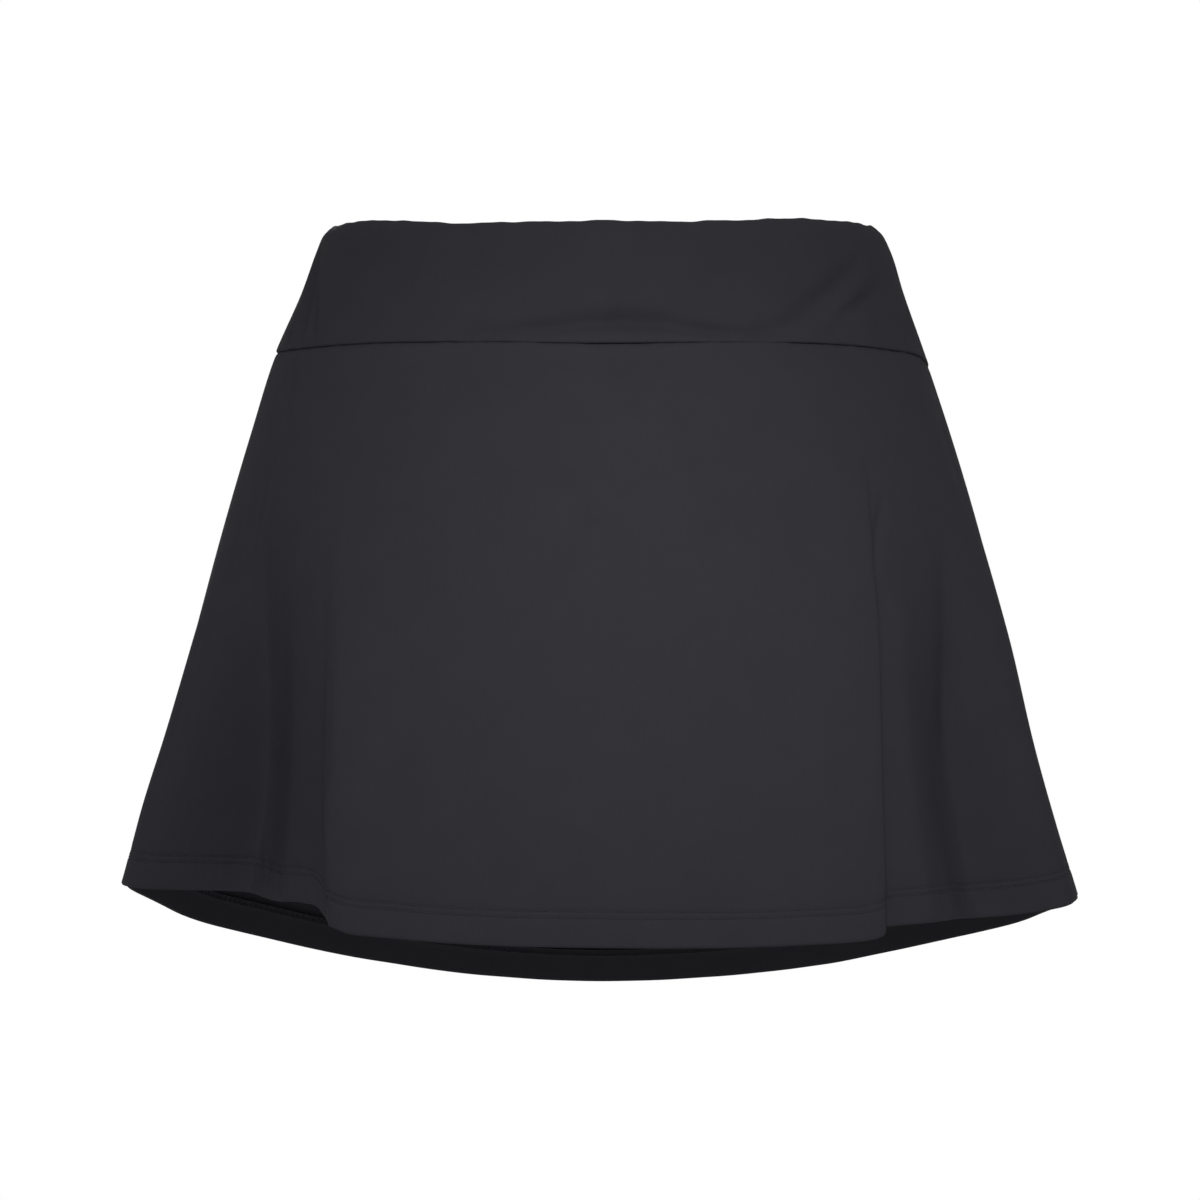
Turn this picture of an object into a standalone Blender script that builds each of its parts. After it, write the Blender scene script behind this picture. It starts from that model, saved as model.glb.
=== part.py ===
"""Tennis skort: a flared knit skirt over plain inner shorts, sewn together under one wide waistband.

Metres, +Z up. The front faces -Y. The garment is filled out and hollow, as on a figure, and open at
the waist, the skirt's hem and both legs. The origin is the middle of the waist opening, halfway up
the waistband at the front. Angles run round the garment in degrees: -180 is the left side,
-90 the front, 0 the right side and 90 the back.
"""

import math
from collections import namedtuple

import bpy
import numpy as np

# Driving sizes.
SINGLE_CLOTH = 0.0012
DOUBLED_CLOTH = 0.0022
BAND_CLOTH = 0.0030
BAND_PROUD = 0.0005
SEAM_GAP = 0.0003
SKIRT_HEM_DEPTH = 0.0170
SHORTS_CLOTH = 0.0010
SHORTS_HEM_CLOTH = 0.0018
SHORTS_HEM_DEPTH = 0.0150
SHORTS_INSET = 0.0018
CROTCH_HEIGHT = -0.2150
CROTCH_CURVE_HEIGHT = 0.0900
SHORTS_LEG_HEIGHT = -0.3020
LEG_PARTING = 0.0080

# How far the two top edges lie under the band's seam, which keeps their walls clear of the band's.
SKIRT_TOP_DROP = 0.0007
SHORTS_TOP_DROP = 0.0016

# How finely each piece is divided.
SKIRT_COLUMNS = {"front": 70, "back": 52}
SKIRT_ROWS = 13
BAND_COLUMNS = 40
BAND_ROWS = 5
SHORTS_COLUMNS = 34
SHORTS_RISE_ROWS = 5
SHORTS_CROTCH_ROWS = 7
SHORTS_LEG_ROWS = 3
COLUMN_CROWDING = 2.2
CROWDING_SAMPLES = 721
SEAM_COLUMN_DEGREES = 0.6

# Where each side seam is, and the angles that the two panels lie between.
HALF_TURN = 180
PANELS = (("front", -HALF_TURN, 0), ("back", 0, HALF_TURN))

# The filled-out form without its folds: half its width, its reach to front and back, and how far
# its middle lies to the right.
Section = namedtuple("Section", "name height half_width front back middle")
FORM = (
    Section("above_the_waist", 0.0400, 0.1330, 0.0900, 0.0950, 0.0010),
    Section("waist", 0.0310, 0.1382, 0.0945, 0.0985, 0.0014),
    Section("under_the_top", 0.0200, 0.1430, 0.0990, 0.1025, 0.0018),
    Section("middle_of_band", 0.0000, 0.1497, 0.1060, 0.1090, 0.0013),
    Section("band_seam", -0.0300, 0.1615, 0.1170, 0.1200, 0.0000),
    Section("high_hip", -0.0700, 0.1745, 0.1290, 0.1360, 0.0003),
    Section("hip", -0.1200, 0.1892, 0.1390, 0.1510, 0.0004),
    Section("full_hip", -0.1700, 0.2022, 0.1465, 0.1590, 0.0000),
    Section("thigh", -0.2200, 0.2145, 0.1530, 0.1640, -0.0012),
    Section("above_the_hem", -0.2650, 0.2280, 0.1600, 0.1685, -0.0014),
    Section("side_hem", -0.3000, 0.2385, 0.1660, 0.1720, -0.0006),
    Section("back_hem", -0.3600, 0.2540, 0.1740, 0.1780, 0.0000),
)

# The heights of the garment's edges, round its angles.
Edge = namedtuple("Edge", "angle band_top band_seam hem")
EDGES = (
    Edge(-180, 0.0330, -0.0300, -0.2960),
    Edge(-160, 0.0333, -0.0300, -0.2940),
    Edge(-138, 0.0325, -0.0290, -0.2996),
    Edge(-130, 0.0314, -0.0288, -0.2992),
    Edge(-125.5, 0.0308, -0.0289, -0.3012),
    Edge(-122.5, 0.0305, -0.0290, -0.3082),
    Edge(-120.3, 0.0302, -0.0290, -0.3087),
    Edge(-118, 0.0301, -0.0290, -0.3112),
    Edge(-114, 0.0299, -0.0291, -0.3127),
    Edge(-108, 0.0298, -0.0292, -0.3150),
    Edge(-90, 0.0300, -0.0305, -0.3172),
    Edge(-68, 0.0308, -0.0292, -0.3167),
    Edge(-60.5, 0.0316, -0.0290, -0.3149),
    Edge(-54, 0.0324, -0.0291, -0.3101),
    Edge(-38, 0.0332, -0.0298, -0.3079),
    Edge(-29, 0.0335, -0.0308, -0.3084),
    Edge(-14, 0.0334, -0.0325, -0.2995),
    Edge(0, 0.0332, -0.0375, -0.3035),
    Edge(18, 0.0333, -0.0385, -0.3116),
    Edge(40, 0.0337, -0.0380, -0.3280),
    Edge(60, 0.0341, -0.0370, -0.3446),
    Edge(90, 0.0345, -0.0355, -0.3566),
    Edge(118, 0.0341, -0.0345, -0.3440),
    Edge(142, 0.0337, -0.0330, -0.3237),
    Edge(164, 0.0333, -0.0310, -0.3050),
)

# The skirt's folds. Each runs from its angle at the waist to its angle at the hem, starts at one
# height and is full at another. depth is how far it stands out, or in where it is below 0, and
# lean turns its crest sideways, in degrees. before and after are its widths to either side, in
# degrees at the hem. A row of no depth only carries the cloth's lines down from waist to hem there.
Fold = namedtuple("Fold", "name waist_angle hem_angle before after depth lean start full")
FOLDS = (
    Fold("left_side", -180, -180, 20, 20, 0.0000, 0.0, -0.1200, -0.3000),
    Fold("left_lobe", -165, -161, 14, 14, 0.0080, 0.0, -0.0750, -0.2650),
    Fold("left_trough", -152, -148.5, 9, 33, -0.0435, 0.0, -0.0780, -0.2900),
    Fold("left_tuck", -144, -128.5, 8, 7, -0.0030, 0.0, -0.1030, -0.2800),
    Fold("left_of_front", -136.5, -119.8, 4, 17, 0.0092, -0.8, -0.0900, -0.2900),
    Fold("front", -90, -90, 18, 18, 0.0000, 0.0, -0.1200, -0.3000),
    Fold("right_of_front", -43, -59.4, 15.5, 5.5, 0.0042, 2.0, -0.0600, -0.2400),
    Fold("right_tuck", -41, -53.2, 4.5, 6, -0.0025, -3.5, -0.0700, -0.2300),
    Fold("right_trough", -29, -31.6, 22, 13, -0.0280, 0.0, -0.0960, -0.2950),
    Fold("right_lobe", -15, -19.5, 12, 14, 0.0080, 0.0, -0.0520, -0.2220),
    Fold("right_side", 0, 0, 20, 20, 0.0000, 0.0, -0.1200, -0.3000),
    Fold("back_right_flute", 36, 32, 16, 15, 0.0070, 0.0, -0.1100, -0.3300),
    Fold("back_right_dip", 58, 57, 14, 15, -0.0180, 0.0, -0.1000, -0.3300),
    Fold("back_flute", 85, 84, 15, 17, 0.0070, 0.0, -0.1300, -0.3400),
    Fold("back_left_dip", 111, 113, 16, 14, -0.0160, 0.0, -0.1150, -0.3400),
    Fold("back_left_flute", 141, 145, 16, 17, 0.0070, 0.0, -0.1250, -0.3300),
)

# The shorts' form under the skirt.
SHORTS_FORM = (
    Section("band_seam", -0.0300, 0.1615, 0.1170, 0.1200, 0.0),
    Section("high_hip", -0.0800, 0.1660, 0.1190, 0.1270, 0.0),
    Section("hip", -0.1400, 0.1710, 0.1160, 0.1300, 0.0),
    Section("crotch", -0.2150, 0.1700, 0.1050, 0.1180, 0.0),
    Section("leg_opening", -0.3020, 0.1650, 0.0900, 0.0980, 0.0),
)

# Colours are linear.
Finish = namedtuple("Finish", "name colour roughness")
SKIRT_FINISH = Finish("charcoal_knit", (0.036, 0.035, 0.041, 1.0), 0.85)
BAND_FINISH = Finish("charcoal_knit_doubled", (0.034, 0.033, 0.039, 1.0), 0.85)
SHORTS_FINISH = Finish("black_stretch_knit", (0.022, 0.021, 0.025, 1.0), 0.75)


def curve_through(rows, values, at):
    """A smooth curve through the rows, with each row's slope taken from its neighbours."""
    rows = np.asarray(rows, float)
    values = np.asarray(values, float)
    slopes = np.gradient(values, rows)
    i = np.clip(np.searchsorted(rows, at) - 1, 0, len(rows) - 2)
    step = rows[i + 1] - rows[i]
    t = (at - rows[i]) / step
    start = (1 + 2 * t) * (1 - t) ** 2 * values[i] + t * (1 - t) ** 2 * step * slopes[i]
    end = t**2 * (3 - 2 * t) * values[i + 1] + t**2 * (t - 1) * step * slopes[i + 1]
    return start + end


def column(table, name):
    """One named column of a table."""
    return np.array([getattr(row, name) for row in table], float)


def section(name):
    """One row of the garment's form."""
    return next(row for row in FORM if row.name == name)


def form_size(form, size, height):
    """A half width or a reach of a form at a height."""
    heights = column(form, "height")[::-1]
    return curve_through(heights, column(form, size)[::-1], height)


def round_garment(angles, values, at):
    """A smooth curve round the garment, through values at rising angles."""
    turns = np.concatenate([angles - 2 * HALF_TURN, angles, angles + 2 * HALF_TURN])
    return curve_through(turns, np.tile(values, 3), at)


def edge_height(edge, angle):
    """The height of the band's top, its seam or the hem at an angle."""
    return round_garment(column(EDGES, "angle"), column(EDGES, edge), angle)


def smooth_step(t):
    """0 up to 0, 1 from 1, and a smooth rise between."""
    t = np.clip(t, 0.0, 1.0)
    return t * t * (3 - 2 * t)


def ring(form, angle, height, outward=0.0):
    """A point of the form's oval at an angle and height, moved outward in plan."""
    turn = np.radians(angle)
    wide = form_size(form, "half_width", height)
    deep = np.where(
        np.sin(turn) < 0, form_size(form, "front", height), form_size(form, "back", height)
    )
    x = form_size(form, "middle", height) + wide * np.cos(turn)
    y = deep * np.sin(turn)
    normal_x = np.cos(turn) / wide
    normal_y = np.sin(turn) / deep
    length = np.hypot(normal_x, normal_y)
    return x + outward * normal_x / length, y + outward * normal_y / length


def fold_swell(fold, angle):
    """How much of a fold is left at a hem angle: 1 at its middle and 0 past its widths."""
    away = (angle - fold.hem_angle + HALF_TURN) % (2 * HALF_TURN) - HALF_TURN
    share = np.where(away < 0, away / fold.before, away / fold.after)
    return np.where(abs(share) < 1, np.cos(np.clip(share, -1, 1) * math.pi / 2) ** 2, 0.0)


def skirt_points(hem_angle, share):
    """Points of the skirt's outer face: share runs from 0 at the band's seam to 1 at the hem."""
    hem_angles = column(FOLDS, "hem_angle")
    drift = column(FOLDS, "waist_angle") - hem_angles
    waist_angle = hem_angle + round_garment(hem_angles, drift, hem_angle)
    angle = waist_angle + (hem_angle - waist_angle) * share
    top = edge_height("band_seam", waist_angle) - SKIRT_TOP_DROP
    hem = edge_height("hem", hem_angle)
    height = top + (hem - top) * share
    outward = np.zeros_like(height)
    lean = np.zeros_like(height)
    for fold in FOLDS:
        grown = smooth_step((fold.start - height) / (fold.start - fold.full))
        grown = grown * fold_swell(fold, hem_angle)
        outward += fold.depth * grown
        lean += fold.lean * grown
    x, y = ring(FORM, angle + lean, height, outward)
    return np.stack([x, y, height], axis=-1)


def hem_angles_between(start, end, count):
    """Angles from start to end, crowded where the folds are deep."""
    fine = np.linspace(start, end, CROWDING_SAMPLES)
    crowd = sum(abs(fold.depth) * fold_swell(fold, fine) for fold in FOLDS)
    density = 1 + COLUMN_CROWDING * crowd / crowd.max()
    length = np.concatenate([[0], np.cumsum((density[1:] + density[:-1]) / 2)])
    return np.interp(np.linspace(0, length[-1], count), length, fine)


def seam_ends(start, end, depth):
    """Both ends of a panel drawn in by half a side seam's gap, where the form is so deep."""
    half_gap = math.degrees(SEAM_GAP / 2 / depth)
    return start + half_gap, end - half_gap


def beside_seams(angles):
    """The angles with a narrow column at each end, which keeps the wall square to its seam."""
    narrow = [angles[0] + SEAM_COLUMN_DEGREES, angles[-1] - SEAM_COLUMN_DEGREES]
    return np.sort(np.concatenate([angles, narrow]))


def hem_shares(rows, length, turned_depth):
    """Row shares down a panel, the last two at the turned-up edge."""
    turned = turned_depth / length
    return np.concatenate([np.linspace(0, 1 - turned, rows), [1 - turned / 2, 1.0]])


def loft(name, grid, finish, cloth, turned_rows=0, turned_cloth=None):
    """A wall of cloth whose outer face runs through a grid of points, rows down and columns round."""
    rows, columns = grid.shape[:2]
    faces = [
        (r * columns + c, (r + 1) * columns + c, (r + 1) * columns + c + 1, r * columns + c + 1)
        for r in range(rows - 1)
        for c in range(columns - 1)
    ]
    mesh = bpy.data.meshes.new(name)
    mesh.from_pydata(grid.reshape(-1, 3).tolist(), [], faces)
    mesh.shade_smooth()
    mesh.materials.append(cloth_material(name, finish))
    piece = bpy.data.objects.new(name, mesh)
    PARTS.objects.link(piece)
    wall = piece.modifiers.new("cloth", "SOLIDIFY")
    wall.offset = -1
    wall.thickness = cloth
    wall.use_quality_normals = True
    if turned_rows:
        turned = piece.vertex_groups.new(name="turned_up")
        first = (rows - turned_rows) * columns
        turned.add(list(range(first, rows * columns)), 1.0, "REPLACE")
        wall.vertex_group = turned.name
        wall.thickness = turned_cloth
        wall.thickness_vertex_group = cloth / turned_cloth
    return piece


def cloth_material(name, finish):
    """A Principled material of its own for a piece."""
    material = bpy.data.materials.new(f"{name}_{finish.name}")
    material.use_nodes = True
    material.diffuse_color = finish.colour
    shader = material.node_tree.nodes["Principled BSDF"]
    shader.inputs["Base Color"].default_value = finish.colour
    shader.inputs["Roughness"].default_value = finish.roughness
    shader.inputs["Metallic"].default_value = 0.0
    return material


def build_waistband():
    """The doubled waistband, front and back, from its folded top to the seam."""
    for panel, start, end in PANELS:
        ends = seam_ends(start, end, section("waist").front)
        angle = beside_seams(np.linspace(*ends, BAND_COLUMNS))[None, :]
        share = np.linspace(0, 1, BAND_ROWS)[:, None]
        top = edge_height("band_top", angle)
        height = top + (edge_height("band_seam", angle) - top) * share
        x, y = ring(FORM, angle, height, BAND_PROUD)
        grid = np.stack([x, y, height], axis=-1)
        loft(f"waistband_{panel}", grid, BAND_FINISH, BAND_CLOTH)


def build_skirt():
    """The skirt's front and back, each one cloth thick with its hem turned up."""
    length = EDGES[0].band_seam - EDGES[0].hem
    for panel, start, end in PANELS:
        ends = seam_ends(start, end, section("band_seam").front)
        angle = beside_seams(hem_angles_between(*ends, SKIRT_COLUMNS[panel]))[None, :]
        share = hem_shares(SKIRT_ROWS, length, SKIRT_HEM_DEPTH)[:, None]
        grid = skirt_points(*np.broadcast_arrays(angle, share))
        loft(f"skirt_{panel}", grid, SKIRT_FINISH, SINGLE_CLOTH, 2, DOUBLED_CLOTH)


def shorts_points(share, height, gathered):
    """Half the shorts at one height, from the centre front round the side to the centre back.

    share runs from 0 at the centre front to 1 at the centre back. gathered is 0 where the row is
    open, from front to back, and 1 where it closes into a leg.
    """
    inset = SHORTS_INSET
    open_x, open_y = ring(SHORTS_FORM, (share - 0.5) * HALF_TURN, height, -inset)
    outer = form_size(SHORTS_FORM, "half_width", height) - inset
    below = np.clip((CROTCH_HEIGHT - height) / (CROTCH_HEIGHT - SHORTS_LEG_HEIGHT), 0, 1)
    inner = LEG_PARTING * below
    turn = (share - 0.5) * 2 * math.pi
    deep = np.where(
        turn < 0, form_size(SHORTS_FORM, "front", height), form_size(SHORTS_FORM, "back", height)
    )
    leg_x = (outer + inner) / 2 + (outer - inner) / 2 * np.cos(turn)
    leg_y = (deep - inset) * np.sin(turn)
    x = open_x + (leg_x - open_x) * gathered
    y = open_y + (leg_y - open_y) * gathered
    return x, y


def build_shorts():
    """The plain inner shorts: a left and a right piece, each with its own inseam."""
    rise = np.linspace(0, 1, SHORTS_RISE_ROWS, endpoint=False)
    crotch_top = CROTCH_HEIGHT + CROTCH_CURVE_HEIGHT
    curve = np.linspace(0, math.pi / 2, SHORTS_CROTCH_ROWS + 1)
    leg = hem_shares(SHORTS_LEG_ROWS, CROTCH_HEIGHT - SHORTS_LEG_HEIGHT, SHORTS_HEM_DEPTH)[1:]
    across = beside_seams(np.linspace(0, HALF_TURN, SHORTS_COLUMNS))
    share = across[None, :] / HALF_TURN
    top = edge_height("band_seam", (share - 0.5) * HALF_TURN) - SHORTS_TOP_DROP
    heights = np.concatenate(
        [
            top + (crotch_top - top) * rise[:, None],
            crotch_top - CROTCH_CURVE_HEIGHT * np.sin(curve)[:, None] + 0 * share,
            CROTCH_HEIGHT + (SHORTS_LEG_HEIGHT - CROTCH_HEIGHT) * leg[:, None] + 0 * share,
        ]
    )
    gathered = np.concatenate([0 * rise, 1 - np.cos(curve), 1 + 0 * leg])[:, None]
    x, y = shorts_points(share, heights, gathered)
    half_gap = SEAM_GAP / 2
    inseam = np.zeros_like(share)
    inseam[:, :2] = -half_gap
    inseam[:, -2:] = half_gap
    for panel, hand in (("right", 1), ("left", -1)):
        grid = np.stack([hand * (x + half_gap), y + inseam * gathered, heights], axis=-1)
        if hand < 0:
            grid = grid[:, ::-1]
        loft(f"shorts_{panel}", grid, SHORTS_FINISH, SHORTS_CLOTH, 2, SHORTS_HEM_CLOTH)


def clear_scene():
    """Removes every object that the file starts with."""
    for obj in list(bpy.data.objects):
        bpy.data.objects.remove(obj, do_unlink=True)


clear_scene()
PARTS = bpy.data.collections.new("tennis_skort")
bpy.context.scene.collection.children.link(PARTS)
build_waistband()
build_skirt()
build_shorts()
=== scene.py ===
"""The looks of a tennis skort: a flared charcoal knit skirt over plain black inner shorts.

Metres, +Z up, and the front faces -Y. Angles run round the garment in degrees: -180 is the left side,
-90 the front, 0 the right side and 90 the back. Every panel is a thin closed wall of cloth. Its outer
face is worked out from the garment's tables, creased from its listed creases, puckered along its
sewing, and then given its thickness, its turned-up hem and its drawn-in seams. Stitches and seam
allowances are laid on the panels' own faces.
"""

import logging
import math
from collections.abc import Sequence
from dataclasses import dataclass, field
from enum import Enum
from typing import NamedTuple

import bpy
import numpy as np
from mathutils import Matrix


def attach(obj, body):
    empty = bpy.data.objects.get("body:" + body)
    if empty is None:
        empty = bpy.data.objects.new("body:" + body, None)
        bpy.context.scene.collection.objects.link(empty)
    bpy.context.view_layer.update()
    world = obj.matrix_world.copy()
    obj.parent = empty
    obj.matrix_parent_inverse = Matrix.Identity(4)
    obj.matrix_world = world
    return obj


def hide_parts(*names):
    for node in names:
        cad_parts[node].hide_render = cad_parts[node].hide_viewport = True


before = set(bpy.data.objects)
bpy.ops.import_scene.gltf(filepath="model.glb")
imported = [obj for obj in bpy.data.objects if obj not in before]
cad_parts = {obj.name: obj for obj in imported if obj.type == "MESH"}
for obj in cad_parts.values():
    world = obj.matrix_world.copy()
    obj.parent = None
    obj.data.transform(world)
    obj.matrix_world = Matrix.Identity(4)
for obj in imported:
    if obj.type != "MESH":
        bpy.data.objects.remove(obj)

LOG = logging.getLogger("tennis_skort")
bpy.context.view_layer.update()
BODY = "root"
SKIRT_SLOT = "charcoal_knit"
BAND_SLOT = "charcoal_knit_doubled"
SHORTS_SLOT = "black_stretch_knit"
GRAIN = "grain"
INNER_SIDE = "inner_side"
HALF_TURN = 180.0
SMALLEST_LENGTH = 1e-12
SMALLEST_TURN = 1e-6

# The points of paths over the cloth, and the cloth's outward directions along them.
Paths = tuple[np.ndarray, np.ndarray]

# How a crease is worked out: its points, the widths and degrees around it that count, how fast it
# fades toward its ends, and where its rim stands and how wide it is, in its own widths.
CREASE_POINTS = 48
CREASE_MARGIN = 3.2
CREASE_WINDOW = 4.0
CREASE_FADE = 1.2
RIM_PLACE = 1.9
RIM_WIDTH = 0.9

# Puckers leave about this much cloth plain beside a panel's end seams, and their crests slant by up to
# this much down the panel.
PUCKER_END = 0.005
PUCKER_DRIFT = 0.25


class Section(NamedTuple):
    """The filled-out form at one height, without its folds: its half width, reaches and middle."""

    name: str
    height: float
    half_width: float
    front: float
    back: float
    middle: float


class Edge(NamedTuple):
    """The heights of the garment's edges at one angle."""

    angle: float
    band_top: float
    band_seam: float
    hem: float


class Fold(NamedTuple):
    """A large fold of the skirt, from its angle at the waist to its angle at the hem.

    before and after are the degrees over which it fades on its two sides, depth is how far it stands
    out, or in where it is below 0, and lean how many degrees it carries the cloth along. It grows from
    the height start down to the height full.
    """

    name: str
    waist_angle: float
    hem_angle: float
    before: float
    after: float
    depth: float
    lean: float
    start: float
    full: float


class Crease(NamedTuple):
    """A soft trough along a bowed line on a panel, or a ridge where its depth is below 0.

    The line runs between two points, each an angle and a height. bow is how far its middle bends
    sideways, deepest the share of the line at which it is deepest, and rim the height of the raised
    cloth beside it, as a share of its depth.
    """

    name: str
    start: tuple[float, float]
    end: tuple[float, float]
    bow: float
    width: float
    depth: float
    deepest: float
    rim: float

    def strength(self, along: np.ndarray) -> np.ndarray:
        """How strong it is along its line: 0 at the ends and 1 where it is deepest."""
        before = along / self.deepest / 2
        after = 0.5 + (along - self.deepest) / (1 - self.deepest) / 2
        halved = np.where(along < self.deepest, before, after)
        return np.sin(math.pi * np.clip(halved, 0, 1)) ** CREASE_FADE

    def profile(self, across: np.ndarray) -> np.ndarray:
        """Its cross-section at so many widths from its line: -1 in its trough, and above 0 on its rim."""
        rim_side = math.copysign(RIM_PLACE, self.rim)
        return -np.exp(-(across**2)) + abs(self.rim) * np.exp(-(((across - rim_side) / RIM_WIDTH) ** 2))


class PanelEdge(Enum):
    """The edge of a panel that its puckers are measured from."""

    TOP = "top"
    FOOT = "foot"


class Pucker(NamedTuple):
    """Ripples along a row of a panel, as sewing puckers cloth.

    The row lies at a distance from an edge, and the ripples fade within a reach of it, more suddenly
    for a higher power. size is how far they stand out or in, waves are the lengths of the waves that
    make them up, and seed settles where those start.
    """

    edge: PanelEdge
    distance: float
    reach: float
    power: int
    size: float
    waves: tuple[float, ...]
    seed: int


SKIRT_SECTIONS = (
    Section("above_the_waist", 0.0400, 0.1330, 0.0900, 0.0950, 0.0010),
    Section("waist", 0.0310, 0.1382, 0.0945, 0.0985, 0.0014),
    Section("under_the_top", 0.0200, 0.1430, 0.0990, 0.1025, 0.0018),
    Section("middle_of_band", 0.0000, 0.1497, 0.1060, 0.1090, 0.0013),
    Section("band_seam", -0.0300, 0.1615, 0.1170, 0.1200, 0.0000),
    Section("high_hip", -0.0700, 0.1745, 0.1290, 0.1360, 0.0003),
    Section("hip", -0.1200, 0.1892, 0.1390, 0.1510, 0.0004),
    Section("full_hip", -0.1700, 0.2022, 0.1465, 0.1590, 0.0000),
    Section("thigh", -0.2200, 0.2145, 0.1530, 0.1640, -0.0012),
    Section("above_the_hem", -0.2650, 0.2280, 0.1600, 0.1685, -0.0014),
    Section("side_hem", -0.3000, 0.2385, 0.1660, 0.1720, -0.0006),
    Section("back_hem", -0.3600, 0.2540, 0.1740, 0.1780, 0.0000),
)

SHORTS_SECTIONS = (
    Section("band_seam", -0.0300, 0.1615, 0.1170, 0.1200, 0.0),
    Section("high_hip", -0.0800, 0.1660, 0.1190, 0.1270, 0.0),
    Section("hip", -0.1400, 0.1710, 0.1160, 0.1300, 0.0),
    Section("crotch", -0.2150, 0.1700, 0.1050, 0.1180, 0.0),
    Section("leg_opening", -0.3020, 0.1650, 0.0900, 0.0980, 0.0),
)

EDGES = (
    Edge(-180, 0.0330, -0.0300, -0.2960),
    Edge(-160, 0.0333, -0.0300, -0.2940),
    Edge(-138, 0.0325, -0.0290, -0.2996),
    Edge(-130, 0.0314, -0.0288, -0.2992),
    Edge(-125.5, 0.0308, -0.0289, -0.3012),
    Edge(-122.5, 0.0305, -0.0290, -0.3082),
    Edge(-120.3, 0.0302, -0.0290, -0.3087),
    Edge(-118, 0.0301, -0.0290, -0.3112),
    Edge(-114, 0.0299, -0.0291, -0.3127),
    Edge(-108, 0.0298, -0.0292, -0.3150),
    Edge(-90, 0.0300, -0.0305, -0.3172),
    Edge(-68, 0.0308, -0.0292, -0.3167),
    Edge(-60.5, 0.0316, -0.0290, -0.3149),
    Edge(-54, 0.0324, -0.0291, -0.3101),
    Edge(-38, 0.0332, -0.0298, -0.3079),
    Edge(-29, 0.0335, -0.0308, -0.3084),
    Edge(-14, 0.0334, -0.0325, -0.2995),
    Edge(0, 0.0332, -0.0375, -0.3035),
    Edge(18, 0.0333, -0.0385, -0.3116),
    Edge(40, 0.0337, -0.0380, -0.3280),
    Edge(60, 0.0341, -0.0370, -0.3446),
    Edge(90, 0.0345, -0.0355, -0.3566),
    Edge(118, 0.0341, -0.0345, -0.3440),
    Edge(142, 0.0337, -0.0330, -0.3237),
    Edge(164, 0.0333, -0.0310, -0.3050),
)

# A row of no depth only carries the cloth's lines down from waist to hem there.
FOLDS = (
    Fold("left_side", -180, -180, 20, 20, 0.0000, 0.0, -0.1200, -0.3000),
    Fold("left_lobe", -165, -161, 14, 14, 0.0080, 0.0, -0.0750, -0.2650),
    Fold("left_trough", -152, -148.5, 9, 33, -0.0435, 0.0, -0.0780, -0.2900),
    Fold("left_tuck", -144, -128.5, 8, 7, -0.0030, 0.0, -0.1030, -0.2800),
    Fold("left_of_front", -136.5, -119.8, 4, 17, 0.0092, -0.8, -0.0900, -0.2900),
    Fold("front", -90, -90, 18, 18, 0.0000, 0.0, -0.1200, -0.3000),
    Fold("right_of_front", -43, -59.4, 15.5, 5.5, 0.0042, 2.0, -0.0600, -0.2400),
    Fold("right_tuck", -41, -53.2, 4.5, 6, -0.0025, -3.5, -0.0700, -0.2300),
    Fold("right_trough", -29, -31.6, 22, 13, -0.0280, 0.0, -0.0960, -0.2950),
    Fold("right_lobe", -15, -19.5, 12, 14, 0.0080, 0.0, -0.0520, -0.2220),
    Fold("right_side", 0, 0, 20, 20, 0.0000, 0.0, -0.1200, -0.3000),
    Fold("back_right_flute", 36, 32, 16, 15, 0.0070, 0.0, -0.1100, -0.3300),
    Fold("back_right_dip", 58, 57, 14, 15, -0.0180, 0.0, -0.1000, -0.3300),
    Fold("back_flute", 85, 84, 15, 17, 0.0070, 0.0, -0.1300, -0.3400),
    Fold("back_left_dip", 111, 113, 16, 14, -0.0160, 0.0, -0.1150, -0.3400),
    Fold("back_left_flute", 141, 145, 16, 17, 0.0070, 0.0, -0.1250, -0.3300),
)

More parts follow.
